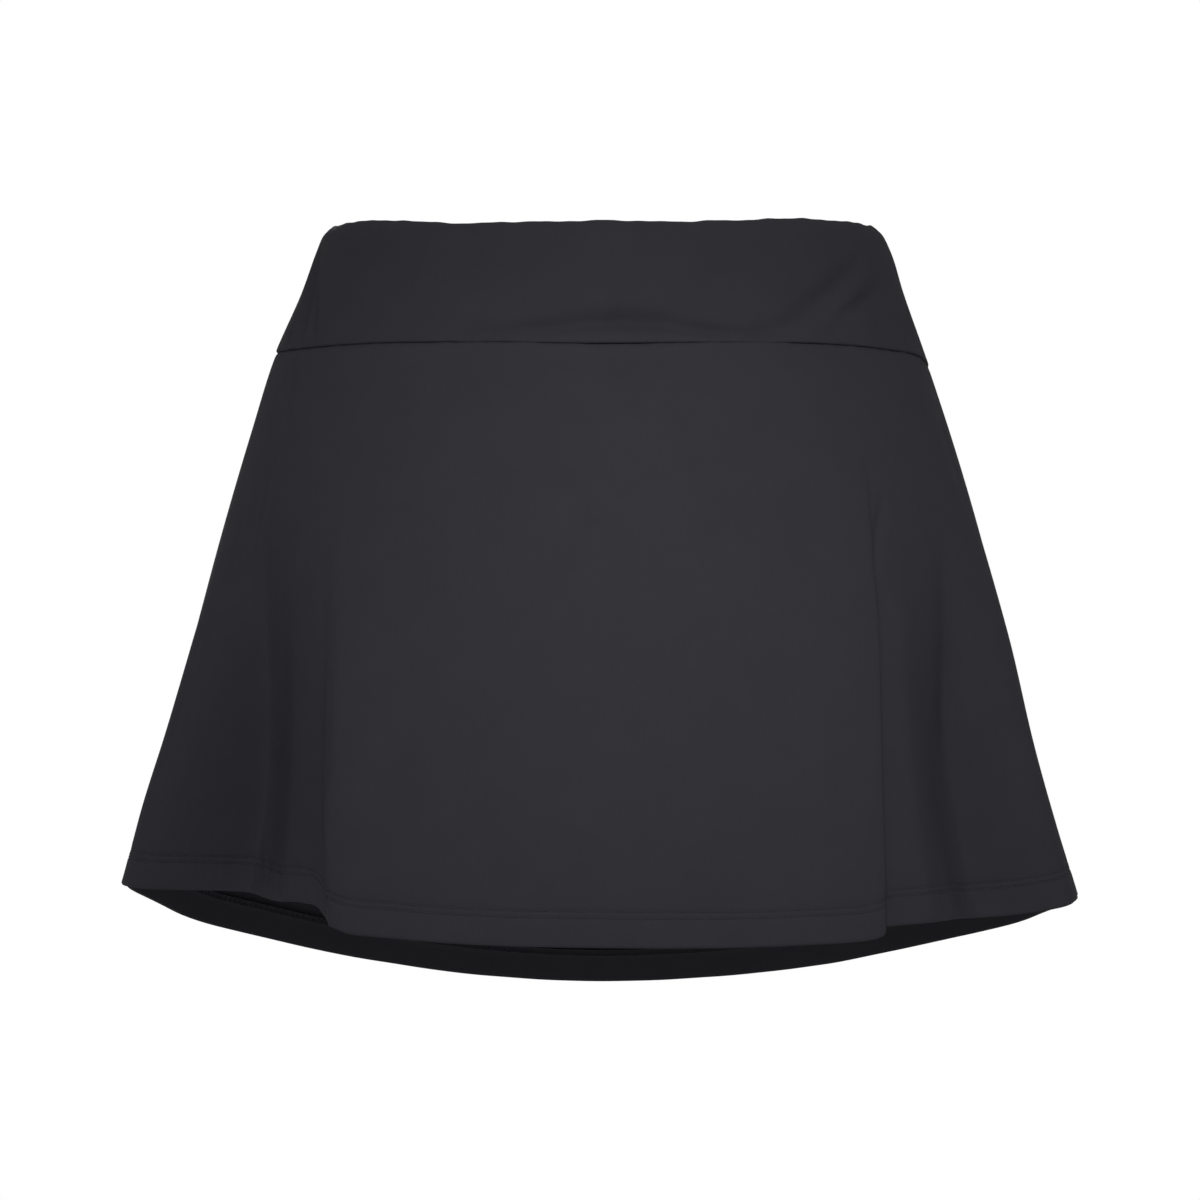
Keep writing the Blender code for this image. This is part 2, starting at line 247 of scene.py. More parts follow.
FRONT_BAND_CREASES = (
    Crease("belly_arch", (-108.0, -0.0300), (-64.0, -0.0300), 0.0108, 0.0042, 0.0034, 0.50, 0.0),
    Crease("belly_hollow", (-103.0, -0.0248), (-69.0, -0.0248), 0.0022, 0.0046, 0.0008, 0.50, 0.0),
    Crease("belly_fold", (-100.0, -0.0190), (-73.0, -0.0190), 0.0030, 0.0052, 0.0018, 0.50, 0.0),
    Crease("belly_arm_left", (-95.0, -0.0208), (-117.0, -0.0285), -0.0010, 0.0030, 0.0018, 0.45, 0.0),
    Crease("belly_arm_right", (-78.0, -0.0220), (-54.0, -0.0288), 0.0008, 0.0030, 0.0018, 0.45, 0.0),
    Crease("seam_lip", (-98.0, -0.0294), (-76.0, -0.0294), 0.0000, 0.0022, -0.0004, 0.50, 0.0),
    Crease("right_long", (-26.0, 0.0200), (-58.0, -0.0215), 0.0012, 0.0052, 0.0026, 0.55, 0.30),
    Crease("right_short", (-22.0, 0.0020), (-46.0, -0.0200), -0.0010, 0.0040, 0.0021, 0.48, 0.25),
    Crease("right_low", (-42.0, -0.0100), (-66.0, -0.0270), 0.0012, 0.0044, 0.0016, 0.50, 0.0),
    Crease("right_broad", (-56.0, 0.0210), (-79.0, -0.0120), 0.0020, 0.0110, 0.0014, 0.50, 0.0),
    Crease("left_broad", (-121.0, 0.0190), (-105.0, -0.0100), -0.0020, 0.0120, 0.0011, 0.45, 0.0),
    Crease("left_side", (-172.0, 0.0260), (-156.5, -0.0310), 0.0020, 0.0034, 0.0036, 0.62, -0.45),
    Crease("left_side_second", (-160.5, 0.0040), (-150.5, -0.0290), 0.0008, 0.0018, 0.0022, 0.60, 0.40),
    Crease("left_side_third", (-168.0, -0.0010), (-163.0, -0.0300), 0.0000, 0.0022, 0.0022, 0.60, 0.0),
    Crease("right_side", (-6.0, -0.0010), (-17.0, -0.0300), -0.0012, 0.0030, 0.0014, 0.55, 0.2),
    Crease("top_dimple", (-104.0, 0.0290), (-96.0, 0.0190), 0.0005, 0.0030, 0.0006, 0.15, 0.0),
    Crease("top_dimple_right", (-62.0, 0.0290), (-54.0, 0.0200), 0.0005, 0.0034, 0.0006, 0.15, 0.0),
)

BACK_BAND_CREASES = (
    Crease("spine_arch", (76.0, -0.0230), (112.0, -0.0225), -0.0040, 0.0058, 0.0024, 0.46, 0.10),
    Crease("right_long", (30.0, 0.0120), (52.0, -0.0220), -0.0010, 0.0034, 0.0017, 0.48, 0.25),
    Crease("right_short", (22.0, 0.0010), (34.0, -0.0150), 0.0008, 0.0025, 0.0011, 0.50, 0.20),
    Crease("left_long", (154.0, 0.0160), (132.0, -0.0190), 0.0014, 0.0034, 0.0016, 0.55, 0.25),
    Crease("left_short", (146.0, 0.0010), (158.0, -0.0180), -0.0010, 0.0027, 0.0012, 0.50, 0.0),
    Crease("right_broad", (62.0, 0.0210), (78.0, -0.0080), 0.0015, 0.0110, 0.0007, 0.50, 0.0),
    Crease("left_side", (171.0, 0.0180), (162.0, -0.0300), 0.0010, 0.0032, 0.0016, 0.60, -0.20),
    Crease("right_side", (7.0, 0.0100), (15.0, -0.0340), 0.0010, 0.0030, 0.0013, 0.55, 0.20),
)

FRONT_SKIRT_CREASES = (
    Crease("under_seam_roll", (-112.0, -0.0370), (-70.0, -0.0358), -0.0012, 0.0046, -0.0008, 0.50, 0.0),
    Crease("under_seam_dip", (-103.0, -0.0478), (-69.0, -0.0458), -0.0010, 0.0060, 0.0008, 0.50, 0.0),
    Crease("left_bright", (-151.0, -0.0640), (-154.4, -0.1600), 0.0000, 0.0026, -0.0014, 0.42, 0.0),
    Crease("left_under_band", (-158.0, -0.0330), (-150.0, -0.0800), 0.0008, 0.0034, 0.0012, 0.20, -0.30),
    Crease("left_edge_line", (-130.2, -0.1540), (-123.8, -0.2650), 0.0000, 0.0030, 0.0013, 0.62, 0.0),
    Crease("right_hook", (-41.0, -0.0985), (-48.2, -0.1480), -0.0022, 0.0022, 0.0015, 0.40, 0.0),
    Crease("right_trough_line", (-28.2, -0.1150), (-30.8, -0.2550), 0.0000, 0.0080, 0.0022, 0.62, 0.0),
    Crease("right_lobe", (-19.0, -0.1900), (-22.0, -0.2700), 0.0010, 0.0060, 0.0010, 0.60, 0.0),
    Crease("front_long", (-97.0, -0.1900), (-101.0, -0.3000), 0.0020, 0.0200, 0.0013, 0.75, 0.0),
    Crease("front_right_long", (-72.0, -0.2000), (-69.0, -0.3050), -0.0020, 0.0170, 0.0012, 0.80, 0.0),
    Crease("front_left_long", (-115.0, -0.1500), (-113.0, -0.2900), 0.0000, 0.0150, 0.0009, 0.70, 0.0),
    Crease("left_lobe", (-163.0, -0.1500), (-160.0, -0.2600), 0.0010, 0.0070, 0.0010, 0.60, 0.0),
    Crease("right_hip", (-12.0, -0.0560), (-17.0, -0.1100), 0.0010, 0.0040, 0.0009, 0.40, 0.0),
)

BACK_SKIRT_CREASES = (
    Crease("under_seam_roll", (70.0, -0.0440), (112.0, -0.0420), 0.0012, 0.0050, -0.0008, 0.50, 0.0),
    Crease("under_seam_dip", (74.0, -0.0560), (105.0, -0.0550), 0.0010, 0.0064, 0.0009, 0.50, 0.0),
    Crease("right_of_middle", (70.0, -0.0900), (71.5, -0.2500), 0.0020, 0.0034, 0.0014, 0.40, 0.2),
    Crease("left_of_middle", (100.0, -0.1200), (99.0, -0.2900), -0.0020, 0.0040, 0.0015, 0.50, 0.0),
    Crease("right_line", (45.0, -0.0850), (44.0, -0.1950), 0.0010, 0.0030, 0.0016, 0.35, 0.25),
    Crease("left_line", (127.0, -0.0800), (129.0, -0.2100), -0.0012, 0.0030, 0.0015, 0.40, 0.2),
    Crease("left_bright", (157.0, -0.0600), (152.0, -0.2000), 0.0025, 0.0030, -0.0013, 0.40, 0.0),
    Crease("right_bright", (21.0, -0.0650), (24.0, -0.2000), -0.0022, 0.0032, -0.0012, 0.45, 0.0),
    Crease("right_faint", (33.0, -0.1000), (35.5, -0.1700), 0.0000, 0.0024, 0.0011, 0.55, 0.0),
    Crease("long_right", (84.0, -0.1900), (86.0, -0.3400), 0.0020, 0.0200, 0.0013, 0.75, 0.0),
    Crease("left_lobe", (165.0, -0.1600), (168.0, -0.2800), 0.0010, 0.0070, 0.0012, 0.60, 0.0),
)

# Across the shorts an angle of -90 is the centre front and 90 the centre back, on either side.
SHORTS_CREASES = (
    Crease("front_whisker", (-80.0, -0.1700), (-40.0, -0.1500), -0.0030, 0.0045, 0.0014, 0.35, 0.2),
    Crease("front_whisker_low", (-78.0, -0.2020), (-34.0, -0.1900), -0.0030, 0.0040, 0.0013, 0.30, 0.2),
    Crease("back_whisker", (82.0, -0.1900), (44.0, -0.1700), 0.0035, 0.0048, 0.0015, 0.35, 0.2),
    Crease("leg_front", (-30.0, -0.2250), (-48.0, -0.2700), 0.0020, 0.0045, 0.0012, 0.50, 0.0),
    Crease("leg_back", (38.0, -0.2200), (50.0, -0.2720), 0.0020, 0.0045, 0.0012, 0.50, 0.0),
    Crease("hip", (-8.0, -0.0700), (6.0, -0.1100), 0.0020, 0.0060, 0.0010, 0.50, 0.0),
)


class Worded(Enum):
    """Pieces of cloth that come in two, each with a word for it."""

    @property
    def word(self) -> str:
        """Its word in the names of nodes and pieces."""
        return self.name.lower()


class Side(Worded):
    """The two panels of the band and of the skirt, each with the angles that it lies between."""

    FRONT = (-HALF_TURN, 0.0)
    BACK = (0.0, HALF_TURN)


class Hand(Worded):
    """The two pieces of the shorts, on the left and the right as the front is looked at."""

    LEFT = -1
    RIGHT = 1


class Panel(NamedTuple):
    """One panel of the band or the skirt, with its columns, its creases and its flat size."""

    side: Side
    columns: int
    creases: tuple[Crease, ...]
    flat: tuple[float, float]
    area: float | None = None


def curve_through(rows: Sequence[float], values: Sequence[float], at: np.ndarray) -> np.ndarray:
    """A smooth curve through the rows, with each row's slope taken from its neighbours.

    Args:
        rows: Rising places of the rows.
        values: The value at each row.
        at: Where the curve is wanted.

    Returns:
        The curve's value at each place.
    """
    rows = np.asarray(rows, float)
    values = np.asarray(values, float)
    slopes = np.gradient(values, rows)
    i = np.clip(np.searchsorted(rows, at) - 1, 0, len(rows) - 2)
    step = rows[i + 1] - rows[i]
    t = (at - rows[i]) / step
    start = (1 + 2 * t) * (1 - t) ** 2 * values[i] + t * (1 - t) ** 2 * step * slopes[i]
    end = t**2 * (3 - 2 * t) * values[i + 1] + t**2 * (t - 1) * step * slopes[i + 1]
    return start + end


def round_garment(angles: np.ndarray, values: np.ndarray, at: np.ndarray) -> np.ndarray:
    """A smooth curve round the garment.

    Args:
        angles: Rising angles.
        values: The value at each angle.
        at: Where the curve is wanted.

    Returns:
        The curve's value at each place.
    """
    turns = np.concatenate([angles - 2 * HALF_TURN, angles, angles + 2 * HALF_TURN])
    return curve_through(turns, np.tile(values, 3), at)


def column(table: Sequence[NamedTuple], name: str) -> np.ndarray:
    """One named column of a table."""
    return np.array([getattr(row, name) for row in table], float)


def smooth_step(t: np.ndarray) -> np.ndarray:
    """0 up to 0, 1 from 1, and a smooth rise between."""
    t = np.clip(t, 0.0, 1.0)
    return t * t * (3 - 2 * t)


def unit(vectors: np.ndarray) -> np.ndarray:
    """The vectors at a length of 1."""
    return vectors / np.maximum(np.linalg.norm(vectors, axis=-1, keepdims=True), SMALLEST_LENGTH)


@dataclass(frozen=True)
class GarmentForm:
    """The garment's filled-out form, its edges and its large folds."""

    sections: tuple[Section, ...] = SKIRT_SECTIONS
    edges: tuple[Edge, ...] = EDGES
    folds: tuple[Fold, ...] = FOLDS

    def size(self, name: str, height: np.ndarray) -> np.ndarray:
        """A half width or a reach of the form at a height."""
        return curve_through(column(self.sections, "height")[::-1], column(self.sections, name)[::-1], height)

    def degree(self, section: str, reach: str) -> float:
        """How long a degree is at a named section, round a circle as wide as one of its reaches."""
        row = next(row for row in self.sections if row.name == section)
        return math.radians(1) * getattr(row, reach)

    def edge(self, name: str, angle: np.ndarray) -> np.ndarray:
        """The height of the band's top, of its seam or of the hem at an angle."""
        return round_garment(column(self.edges, "angle"), column(self.edges, name), angle)

    def ring(self, angle: np.ndarray, height: np.ndarray, outward: np.ndarray | float = 0.0) -> np.ndarray:
        """Points of the form's oval, moved outward in plan.

        Args:
            angle: Angles round the garment, in degrees.
            height: The points' heights.
            outward: How far the points are moved out.

        Returns:
            The points, with x, y and z along the last axis.
        """
        turn = np.radians(angle)
        wide = self.size("half_width", height)
        deep = np.where(np.sin(turn) < 0, self.size("front", height), self.size("back", height))
        normal_x = np.cos(turn) / wide
        normal_y = np.sin(turn) / deep
        length = np.hypot(normal_x, normal_y)
        x = self.size("middle", height) + wide * np.cos(turn) + outward * normal_x / length
        y = deep * np.sin(turn) + outward * normal_y / length
        return np.stack([x, y, height + 0 * x], axis=-1)

    def skirt(self, hem_angle: np.ndarray, share: np.ndarray) -> tuple[np.ndarray, np.ndarray]:
        """Points of the skirt's outer face.

        Args:
            hem_angle: The angle that a point's line has at the hem.
            share: 0 at the band's seam and 1 at the hem.

        Returns:
            The points, and the angle of each round the garment.
        """
        hem_angles = column(self.folds, "hem_angle")
        drift = column(self.folds, "waist_angle") - hem_angles
        waist_angle = hem_angle + round_garment(hem_angles, drift, hem_angle)
        angle = waist_angle + (hem_angle - waist_angle) * share
        top = self.edge("band_seam", waist_angle)
        height = top + (self.edge("hem", hem_angle) - top) * share
        outward = np.zeros_like(height)
        for fold in self.folds:
            grown = smooth_step((fold.start - height) / (fold.start - fold.full))
            grown = grown * self.swell(fold, hem_angle)
            outward += fold.depth * grown
            angle = angle + fold.lean * grown
        return self.ring(angle, height, outward), angle

    @staticmethod
    def swell(fold: Fold, angle: np.ndarray) -> np.ndarray:
        """How much of a fold is left at a hem angle: 1 at its middle and 0 past its widths."""
        away = (angle - fold.hem_angle + HALF_TURN) % (2 * HALF_TURN) - HALF_TURN
        share = np.clip(np.where(away < 0, away / fold.before, away / fold.after), -1, 1)
        return np.cos(share * math.pi / 2) ** 2


def lengths_along(points: np.ndarray, axis: int) -> np.ndarray:
    """How far each point lies along an axis of a grid of points, from the first.

    Args:
        points: The grid, with x, y and z along its last axis.
        axis: The axis to measure along.

    Returns:
        The lengths.
    """
    steps = np.linalg.norm(np.diff(points, axis=axis), axis=-1)
    return np.concatenate([0 * np.take(steps, [0], axis=axis), np.cumsum(steps, axis=axis)], axis=axis)


class Line(NamedTuple):
    """One line of a wall's cross-section, at a share of the panel's length and a fixed way on.

    inset is how far inside the face it lies, and inner is 1 on the wall's inner side.
    """

    share: float
    fixed: float
    inset: float
    inner: float


@dataclass
class Face:
    """The outer face of a panel, as a fine grid with rows down it and columns round the garment.

    angle holds each point's angle round the garment, which creases are placed by.
    """

    points: np.ndarray
    angle: np.ndarray
    centre: int

    @property
    def normals(self) -> np.ndarray:
        """The face's outward direction at each point."""
        down = np.gradient(self.points, axis=0)
        across = np.gradient(self.points, axis=1)
        return unit(np.cross(down, across))

    @property
    def run_down(self) -> np.ndarray:
        """How far each point lies down its column."""
        return lengths_along(self.points, 0)

    @property
    def run_up(self) -> np.ndarray:
        """How far each point lies up its column from the foot."""
        down = self.run_down
        return down[-1:] - down

    @property
    def run_round(self) -> np.ndarray:
        """How far each point lies along its row, from the centre column."""
        run = lengths_along(self.points, 1)
        return run - run[:, self.centre : self.centre + 1]

    @property
    def from_ends(self) -> np.ndarray:
        """How far each point lies along its row from the nearer of the row's ends."""
        run = self.run_round
        return np.minimum(run - run[:, :1], run[:, -1:] - run)

    def move(self, outward: np.ndarray) -> None:
        """Moves the face's points outward."""
        self.points = self.points + self.normals * outward[..., None]

    def press(self, creases: Sequence[Crease]) -> None:
        """Presses creases into the face.

        Args:
            creases: The creases, placed by angle and height.
        """
        turn = np.abs(np.gradient(self.angle, axis=1))
        reach = np.linalg.norm(np.gradient(self.points, axis=1), axis=-1) / np.maximum(turn, SMALLEST_TURN)
        outward = np.zeros(self.angle.shape)
        for crease in creases:
            self._press_one(crease, reach, outward)
        self.move(outward)

    def _press_one(self, crease: Crease, reach: np.ndarray, outward: np.ndarray) -> None:
        """Adds one crease to the outward moves.

        Args:
            crease: The crease.
            reach: Metres to a degree, at each point.
            outward: The moves so far, changed in place.
        """
        angle, height = self.angle, self.points[..., 2]
        (angle_0, height_0), (angle_1, height_1) = crease.start, crease.end
        scale = float(np.median(reach[abs(angle - (angle_0 + angle_1) / 2) < CREASE_WINDOW]))
        margin = CREASE_MARGIN * crease.width + abs(crease.bow)
        low, high = min(angle_0, angle_1) - margin / scale, max(angle_0, angle_1) + margin / scale
        near = (angle > low) & (angle < high)
        near &= (height > min(height_0, height_1) - margin) & (height < max(height_0, height_1) + margin)
        if not near.any():
            return
        along = np.linspace(0, 1, CREASE_POINTS)
        turn, rise = angle_1 - angle_0, height_1 - height_0
        length = math.hypot(turn * scale, rise)
        direction = np.array([turn * scale, rise]) / length
        bowed = crease.bow * 4 * along * (1 - along)
        line_angle = angle_0 + turn * along - bowed * direction[1] / scale
        line_height = height_0 + rise * along + bowed * direction[0]
        tangent = unit(np.stack([np.gradient(line_angle) * scale, np.gradient(line_height)], axis=-1))
        round_from_line = (angle[near][:, None] - line_angle) * reach[near][:, None]
        up_from_line = height[near][:, None] - line_height
        nearest = np.argmin(round_from_line**2 + up_from_line**2, axis=1)
        point = np.arange(len(nearest))
        away_round, away_up = round_from_line[point, nearest], up_from_line[point, nearest]
        on_round, on_up = tangent[nearest, 0], tangent[nearest, 1]
        strength = crease.strength(along[nearest] + (away_round * on_round + away_up * on_up) / length)
        across = (away_round * -on_up + away_up * on_round) / crease.width
        outward[near] += crease.depth * strength * crease.profile(across)

    def pucker(self, puckers: Sequence[Pucker]) -> None:
        """Ripples the face along its rows, but not where the rows end.

        Args:
            puckers: The ripples, in the order in which they are laid over each other.
        """
        for pucker in puckers:
            draw = np.random.default_rng(pucker.seed)
            run, down = self.run_round, self.run_down
            ripple = np.zeros_like(run)
            for wave in pucker.waves:
                drift = draw.uniform(-PUCKER_DRIFT, PUCKER_DRIFT)
                ripple += np.sin(2 * math.pi * (run + drift * down) / wave + draw.uniform(0, 2 * math.pi))
            ripple *= 1 - np.exp(-((self.from_ends / PUCKER_END) ** 2))
            way = down if pucker.edge is PanelEdge.TOP else self.run_up
            strength = np.exp(-((abs(way - pucker.distance) / pucker.reach) ** pucker.power))
            self.move(pucker.size * strength * ripple / math.sqrt(len(pucker.waves)))

    def draw_in(self, depth: float, width: float) -> None:
        """Draws the face in beside its first and last columns, where it is sewn to its neighbours."""
        self.move(-depth * np.exp(-((self.from_ends / width) ** 2)))

    def sample(self, share: np.ndarray, fixed: np.ndarray) -> tuple[np.ndarray, np.ndarray, np.ndarray]:
        """The face along whole lines round it.

        Args:
            share: The share of each column's length at which a line lies.
            fixed: Metres that are added to that.

        Returns:
            The lines' points, outward directions and places in the cloth's own grain.
        """
        down = self.run_down
        grain = np.stack([self.run_round, -down], axis=-1)
        known = np.concatenate([self.points, self.normals, grain], axis=-1)
        wanted = np.asarray(share)[:, None] * down[-1] + np.asarray(fixed)[:, None]
        rows = np.arange(len(down))
        found = np.empty((len(wanted), down.shape[1], known.shape[-1]))
        for c in range(down.shape[1]):
            place = np.interp(wanted[:, c], down[:, c], rows)
            low = np.minimum(place.astype(int), len(rows) - 2)
            part = (place - low)[:, None]
            found[:, c] = known[low, c] * (1 - part) + known[low + 1, c] * part
        return found[..., :3], unit(found[..., 3:6]), found[..., 6:]

    def patch(
        self, columns: slice, top: tuple[float, float], bottom: tuple[float, float], rows: int, inset: float
    ) -> "Face":
        """Part of the face, set in by so much, for what lies against its inside.

        Args:
            columns: Which of the face's columns it takes.
            top: The share and the fixed way on at which it starts.
            bottom: The same for where it ends.
            rows: How many rows it has.
            inset: How far inside the face it lies.

        Returns:
            The new face.
        """
        t = np.linspace(0, 1, rows)
        points, normals, _ = self.sample(top[0] + (bottom[0] - top[0]) * t, top[1] + (bottom[1] - top[1]) * t)
        moved = (points - normals * inset)[:, columns]
        return Face(moved, np.zeros(moved.shape[:2]), moved.shape[1] // 2)

    def beside_end(self, at_start: bool, row: int, width: float) -> slice:
        """The columns within a width of the first or the last one.

        Args:
            at_start: Whether they lie beside the first column.
            row: The row along which the width is measured.
            width: The width.

        Returns:
            The columns.
        """
        run = self.run_round[row]
        if at_start:
            return slice(0, int(np.searchsorted(run - run[0], width)) + 1)
        return slice(int(np.searchsorted(run - run[-1], -width)), None)


@dataclass(frozen=True)
class Fabric:
    """A cloth's finish and its thread's, and the record's material slot that both come from."""

    slot: str
    cloth: bpy.types.Material
    thread: bpy.types.Material


def new_piece(name: str, points: np.ndarray, faces: Sequence[Sequence[int]]) -> bpy.types.Object:
    """Makes a smooth-shaded piece that rides on the garment's body.

    Args:
        name: The piece's name.
        points: Its points.
        faces: Its faces, each the indices of its points.

    Returns:
        The piece.
    """
    mesh = bpy.data.meshes.new(name)
    mesh.from_pydata(points.reshape(-1, 3).tolist(), [], faces)
    mesh.shade_smooth()
    piece = bpy.data.objects.new(name, mesh)
    bpy.context.scene.collection.objects.link(piece)
    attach(piece, BODY)
    return piece


def cap(outline: np.ndarray) -> list[tuple[int, int, int]]:
    """Triangles that close a long thin outline, by way of its shorter crossings.

    Args:
        outline: The outline's points, in order.

    Returns:
        The triangles, as indices into the outline.
    """
    i, j = 0, len(outline) - 1
    triangles = []
    while j - i > 1:
        step_i = np.linalg.norm(outline[i + 1] - outline[j])
        step_j = np.linalg.norm(outline[j - 1] - outline[i])
        if step_i < step_j:
            triangles.append((i, i + 1, j))
            i += 1
        else:
            triangles.append((i, j - 1, j))
            j -= 1
    return triangles


@dataclass
class ClothWall:
    """A closed wall of cloth: a face, and the lines of its cross-section down it and back up."""

    name: str
    face: Face
    lines: list[Line]
    fabric: Fabric

    def build(self) -> bpy.types.Object:
        """Builds the wall.

        Returns:
            The piece.
        """
        table = np.array(self.lines)
        points, normals, grain = self.face.sample(table[:, 0], table[:, 1])
        points = points - normals * table[:, 2][:, None, None]
        rows, columns = points.shape[:2]
        here = np.arange(rows * columns).reshape(rows, columns)
        below = np.roll(here, -1, axis=0)
        quads = np.stack([here[:, :-1], below[:, :-1], below[:, 1:], here[:, 1:]], axis=-1).reshape(-1, 4)
        faces = quads.tolist()
        for c, turned in ((0, True), (columns - 1, False)):
            for triangle in cap(points[:, c]):
                corners = [int(here[k, c]) for k in triangle]
                faces.append(corners[::-1] if turned else corners)
        piece = new_piece(self.name, points, faces)
        self._lay_grain(piece.data, grain.reshape(-1, 2), np.repeat(table[:, 3], columns))
        piece.data.materials.append(self.fabric.cloth)
        return piece

    @staticmethod
    def _lay_grain(mesh: bpy.types.Mesh, grain: np.ndarray, inner: np.ndarray) -> None:
        """Gives a mesh its grain, as a UV map in metres, and marks its inner side.

        Args:
            mesh: The mesh.
            grain: Each point's place across and along the grain.
            inner: 1 for each point of the inner side and 0 for the others.
        """
        corners = np.empty(len(mesh.loops), int)
        mesh.loops.foreach_get("vertex_index", corners)
        layer = mesh.uv_layers.new(name=GRAIN)
        layer.uv.foreach_set("vector", grain[corners].ravel())
        mark = mesh.attributes.new(INNER_SIDE, "FLOAT", "POINT")
        mark.data.foreach_set("value", inner)


@dataclass(frozen=True)
class Corner:
    """A rounded edge of a wall's cross-section, at a share of the panel's length.

    fixed and inset place its middle. Angles round it start at 0 on the face and pass the panel's foot
    at 90, its inside at 180 and its top at 270.
    """

    share: float
    fixed: float
    inset: float
    radius: float

    def lines(self, steps: int, start: float, end: float, inner: float) -> list[Line]:
        """Lines round the corner, without the one that it starts from.

        Args:
            steps: How many lines there are.
            start: The angle before the first.
            end: The angle of the last.
            inner: 1 on the wall's inner side, and 0 elsewhere.

        Returns:
            The lines.
        """
        lines = []
        for k in range(1, steps + 1):
            turn = math.radians(start + (end - start) * k / steps)
            fixed = self.fixed + self.radius * math.sin(turn)
            inset = self.inset - self.radius * math.cos(turn)
            lines.append(Line(self.share, fixed, inset, inner))
        return lines


@dataclass
class Thread:
    """Sewing thread laid on a panel's lines."""

    radius: float
    sides: int = 6

    def tubes(self, paths: np.ndarray, normals: np.ndarray) -> tuple[np.ndarray, list[list[int]]]:
        """Round closed tubes along paths.

        Args:
            paths: The paths' points, as paths, points and coordinates.
            normals: The cloth's outward direction at each point.

        Returns:
            The tubes' points and faces.
        """
        tangent = unit(np.gradient(paths, axis=1))
        side = unit(np.cross(normals, tangent))
        up = np.cross(tangent, side)
        turn = 2 * math.pi * np.arange(self.sides) / self.sides
        ring = side[:, :, None] * np.cos(turn)[:, None] + up[:, :, None] * np.sin(turn)[:, None]
        points = paths[:, :, None] + self.radius * ring
        count, length = paths.shape[:2]
        index = np.arange(count * length * self.sides).reshape(count, length, self.sides)
        beside = np.roll(index, -1, axis=2)
        quads = np.stack([index[:, :-1], beside[:, :-1], beside[:, 1:], index[:, 1:]], axis=-1)
        faces = quads.reshape(-1, 4).tolist()
        faces += index[:, 0, ::-1].tolist() + index[:, -1].tolist()
        return points.reshape(-1, 3), faces

    def lay(self, name: str, groups: Sequence[Paths], fabric: Fabric) -> bpy.types.Object:
        """Joins the tubes of several groups of paths into one piece.

        Args:
            name: The piece's name.
            groups: Paths and the cloth's outward directions along them.
            fabric: The cloth that the thread sews.

        Returns:
            The piece.
        """
        points, faces, used = [], [], 0
        for paths, normals in groups:
            more, more_faces = self.tubes(paths, normals)
            points.append(more)
            faces += [[corner + used for corner in one] for one in more_faces]
            used += len(more)
        piece = new_piece(name, np.concatenate(points), faces)
        piece.data.materials.append(fabric.thread)
        return piece


# Half a stitch either way: places along it as shares of the pitch, and its rise as shares of its lift.
STITCH_PLACES = np.array([-0.44, -0.36, -0.18, 0.0, 0.18, 0.36, 0.44])
STITCH_RISE = np.array([-0.9, 0.35, 0.95, 1.0, 0.95, 0.35, -0.9])


@dataclass
class SewnLine:
    """A line across a panel's face that stitches follow."""

    points: np.ndarray
    normals: np.ndarray
    run: np.ndarray = field(init=False)

    def __post_init__(self) -> None:
        """Measures the line."""
        self.run = lengths_along(self.points, 0)

    def at(self, run: np.ndarray, lift: np.ndarray) -> Paths:
        """Points over the line.

        Args:
            run: How far along it they lie.
            lift: How far off it they stand.

        Returns:
            The points and the outward directions there.
        """
        points = np.stack([np.interp(run, self.run, self.points[:, k]) for k in range(3)], axis=-1)
        normals = unit(np.stack([np.interp(run, self.run, self.normals[:, k]) for k in range(3)], axis=-1))
        return points + normals * lift[..., None], normals

    def straight(self, pitch: float, first: float, lift: float) -> Paths:
        """Straight stitches, each going down into the cloth at both its ends.

        Args:
            pitch: From one needle hole to the next.
            first: How far along the line the first stitch starts, as a share of the pitch.
            lift: How far the thread's middle stands off the cloth.

        Returns:
            The stitches' paths and the outward directions along them.
        """
        count = int(self.run[-1] / pitch - 1)
        middle = (np.arange(count) + first + 0.5) * pitch
        rise = np.broadcast_to(STITCH_RISE * lift, (count, len(STITCH_RISE)))
        return self.at(middle[:, None] + STITCH_PLACES * pitch, rise)


def zigzag(first: SewnLine, second: SewnLine, pitch: float, lift: float) -> Paths:
    """The thread that runs to and fro between two lines.

    Args:
        first: One line.
        second: The other line.
        pitch: From one turn to the next on the same line.
        lift: How far the thread's middle stands off the cloth.

    Returns:
        One path and the outward directions along it.
    """
    count = int(min(first.run[-1], second.run[-1]) / pitch - 1)
    turns = np.arange(2 * count)
    share = np.linspace(0, 1, 2 * count)
    low = first.at(0.5 * pitch + share * (first.run[-1] - pitch), np.full(2 * count, lift))
    high = second.at(0.5 * pitch + share * (second.run[-1] - pitch), np.full(2 * count, lift))
    odd = (turns % 2 == 1)[:, None]
    path = np.where(odd, high[0], low[0])
    normal = np.where(odd, high[1], low[1])
    return path[None], normal[None]


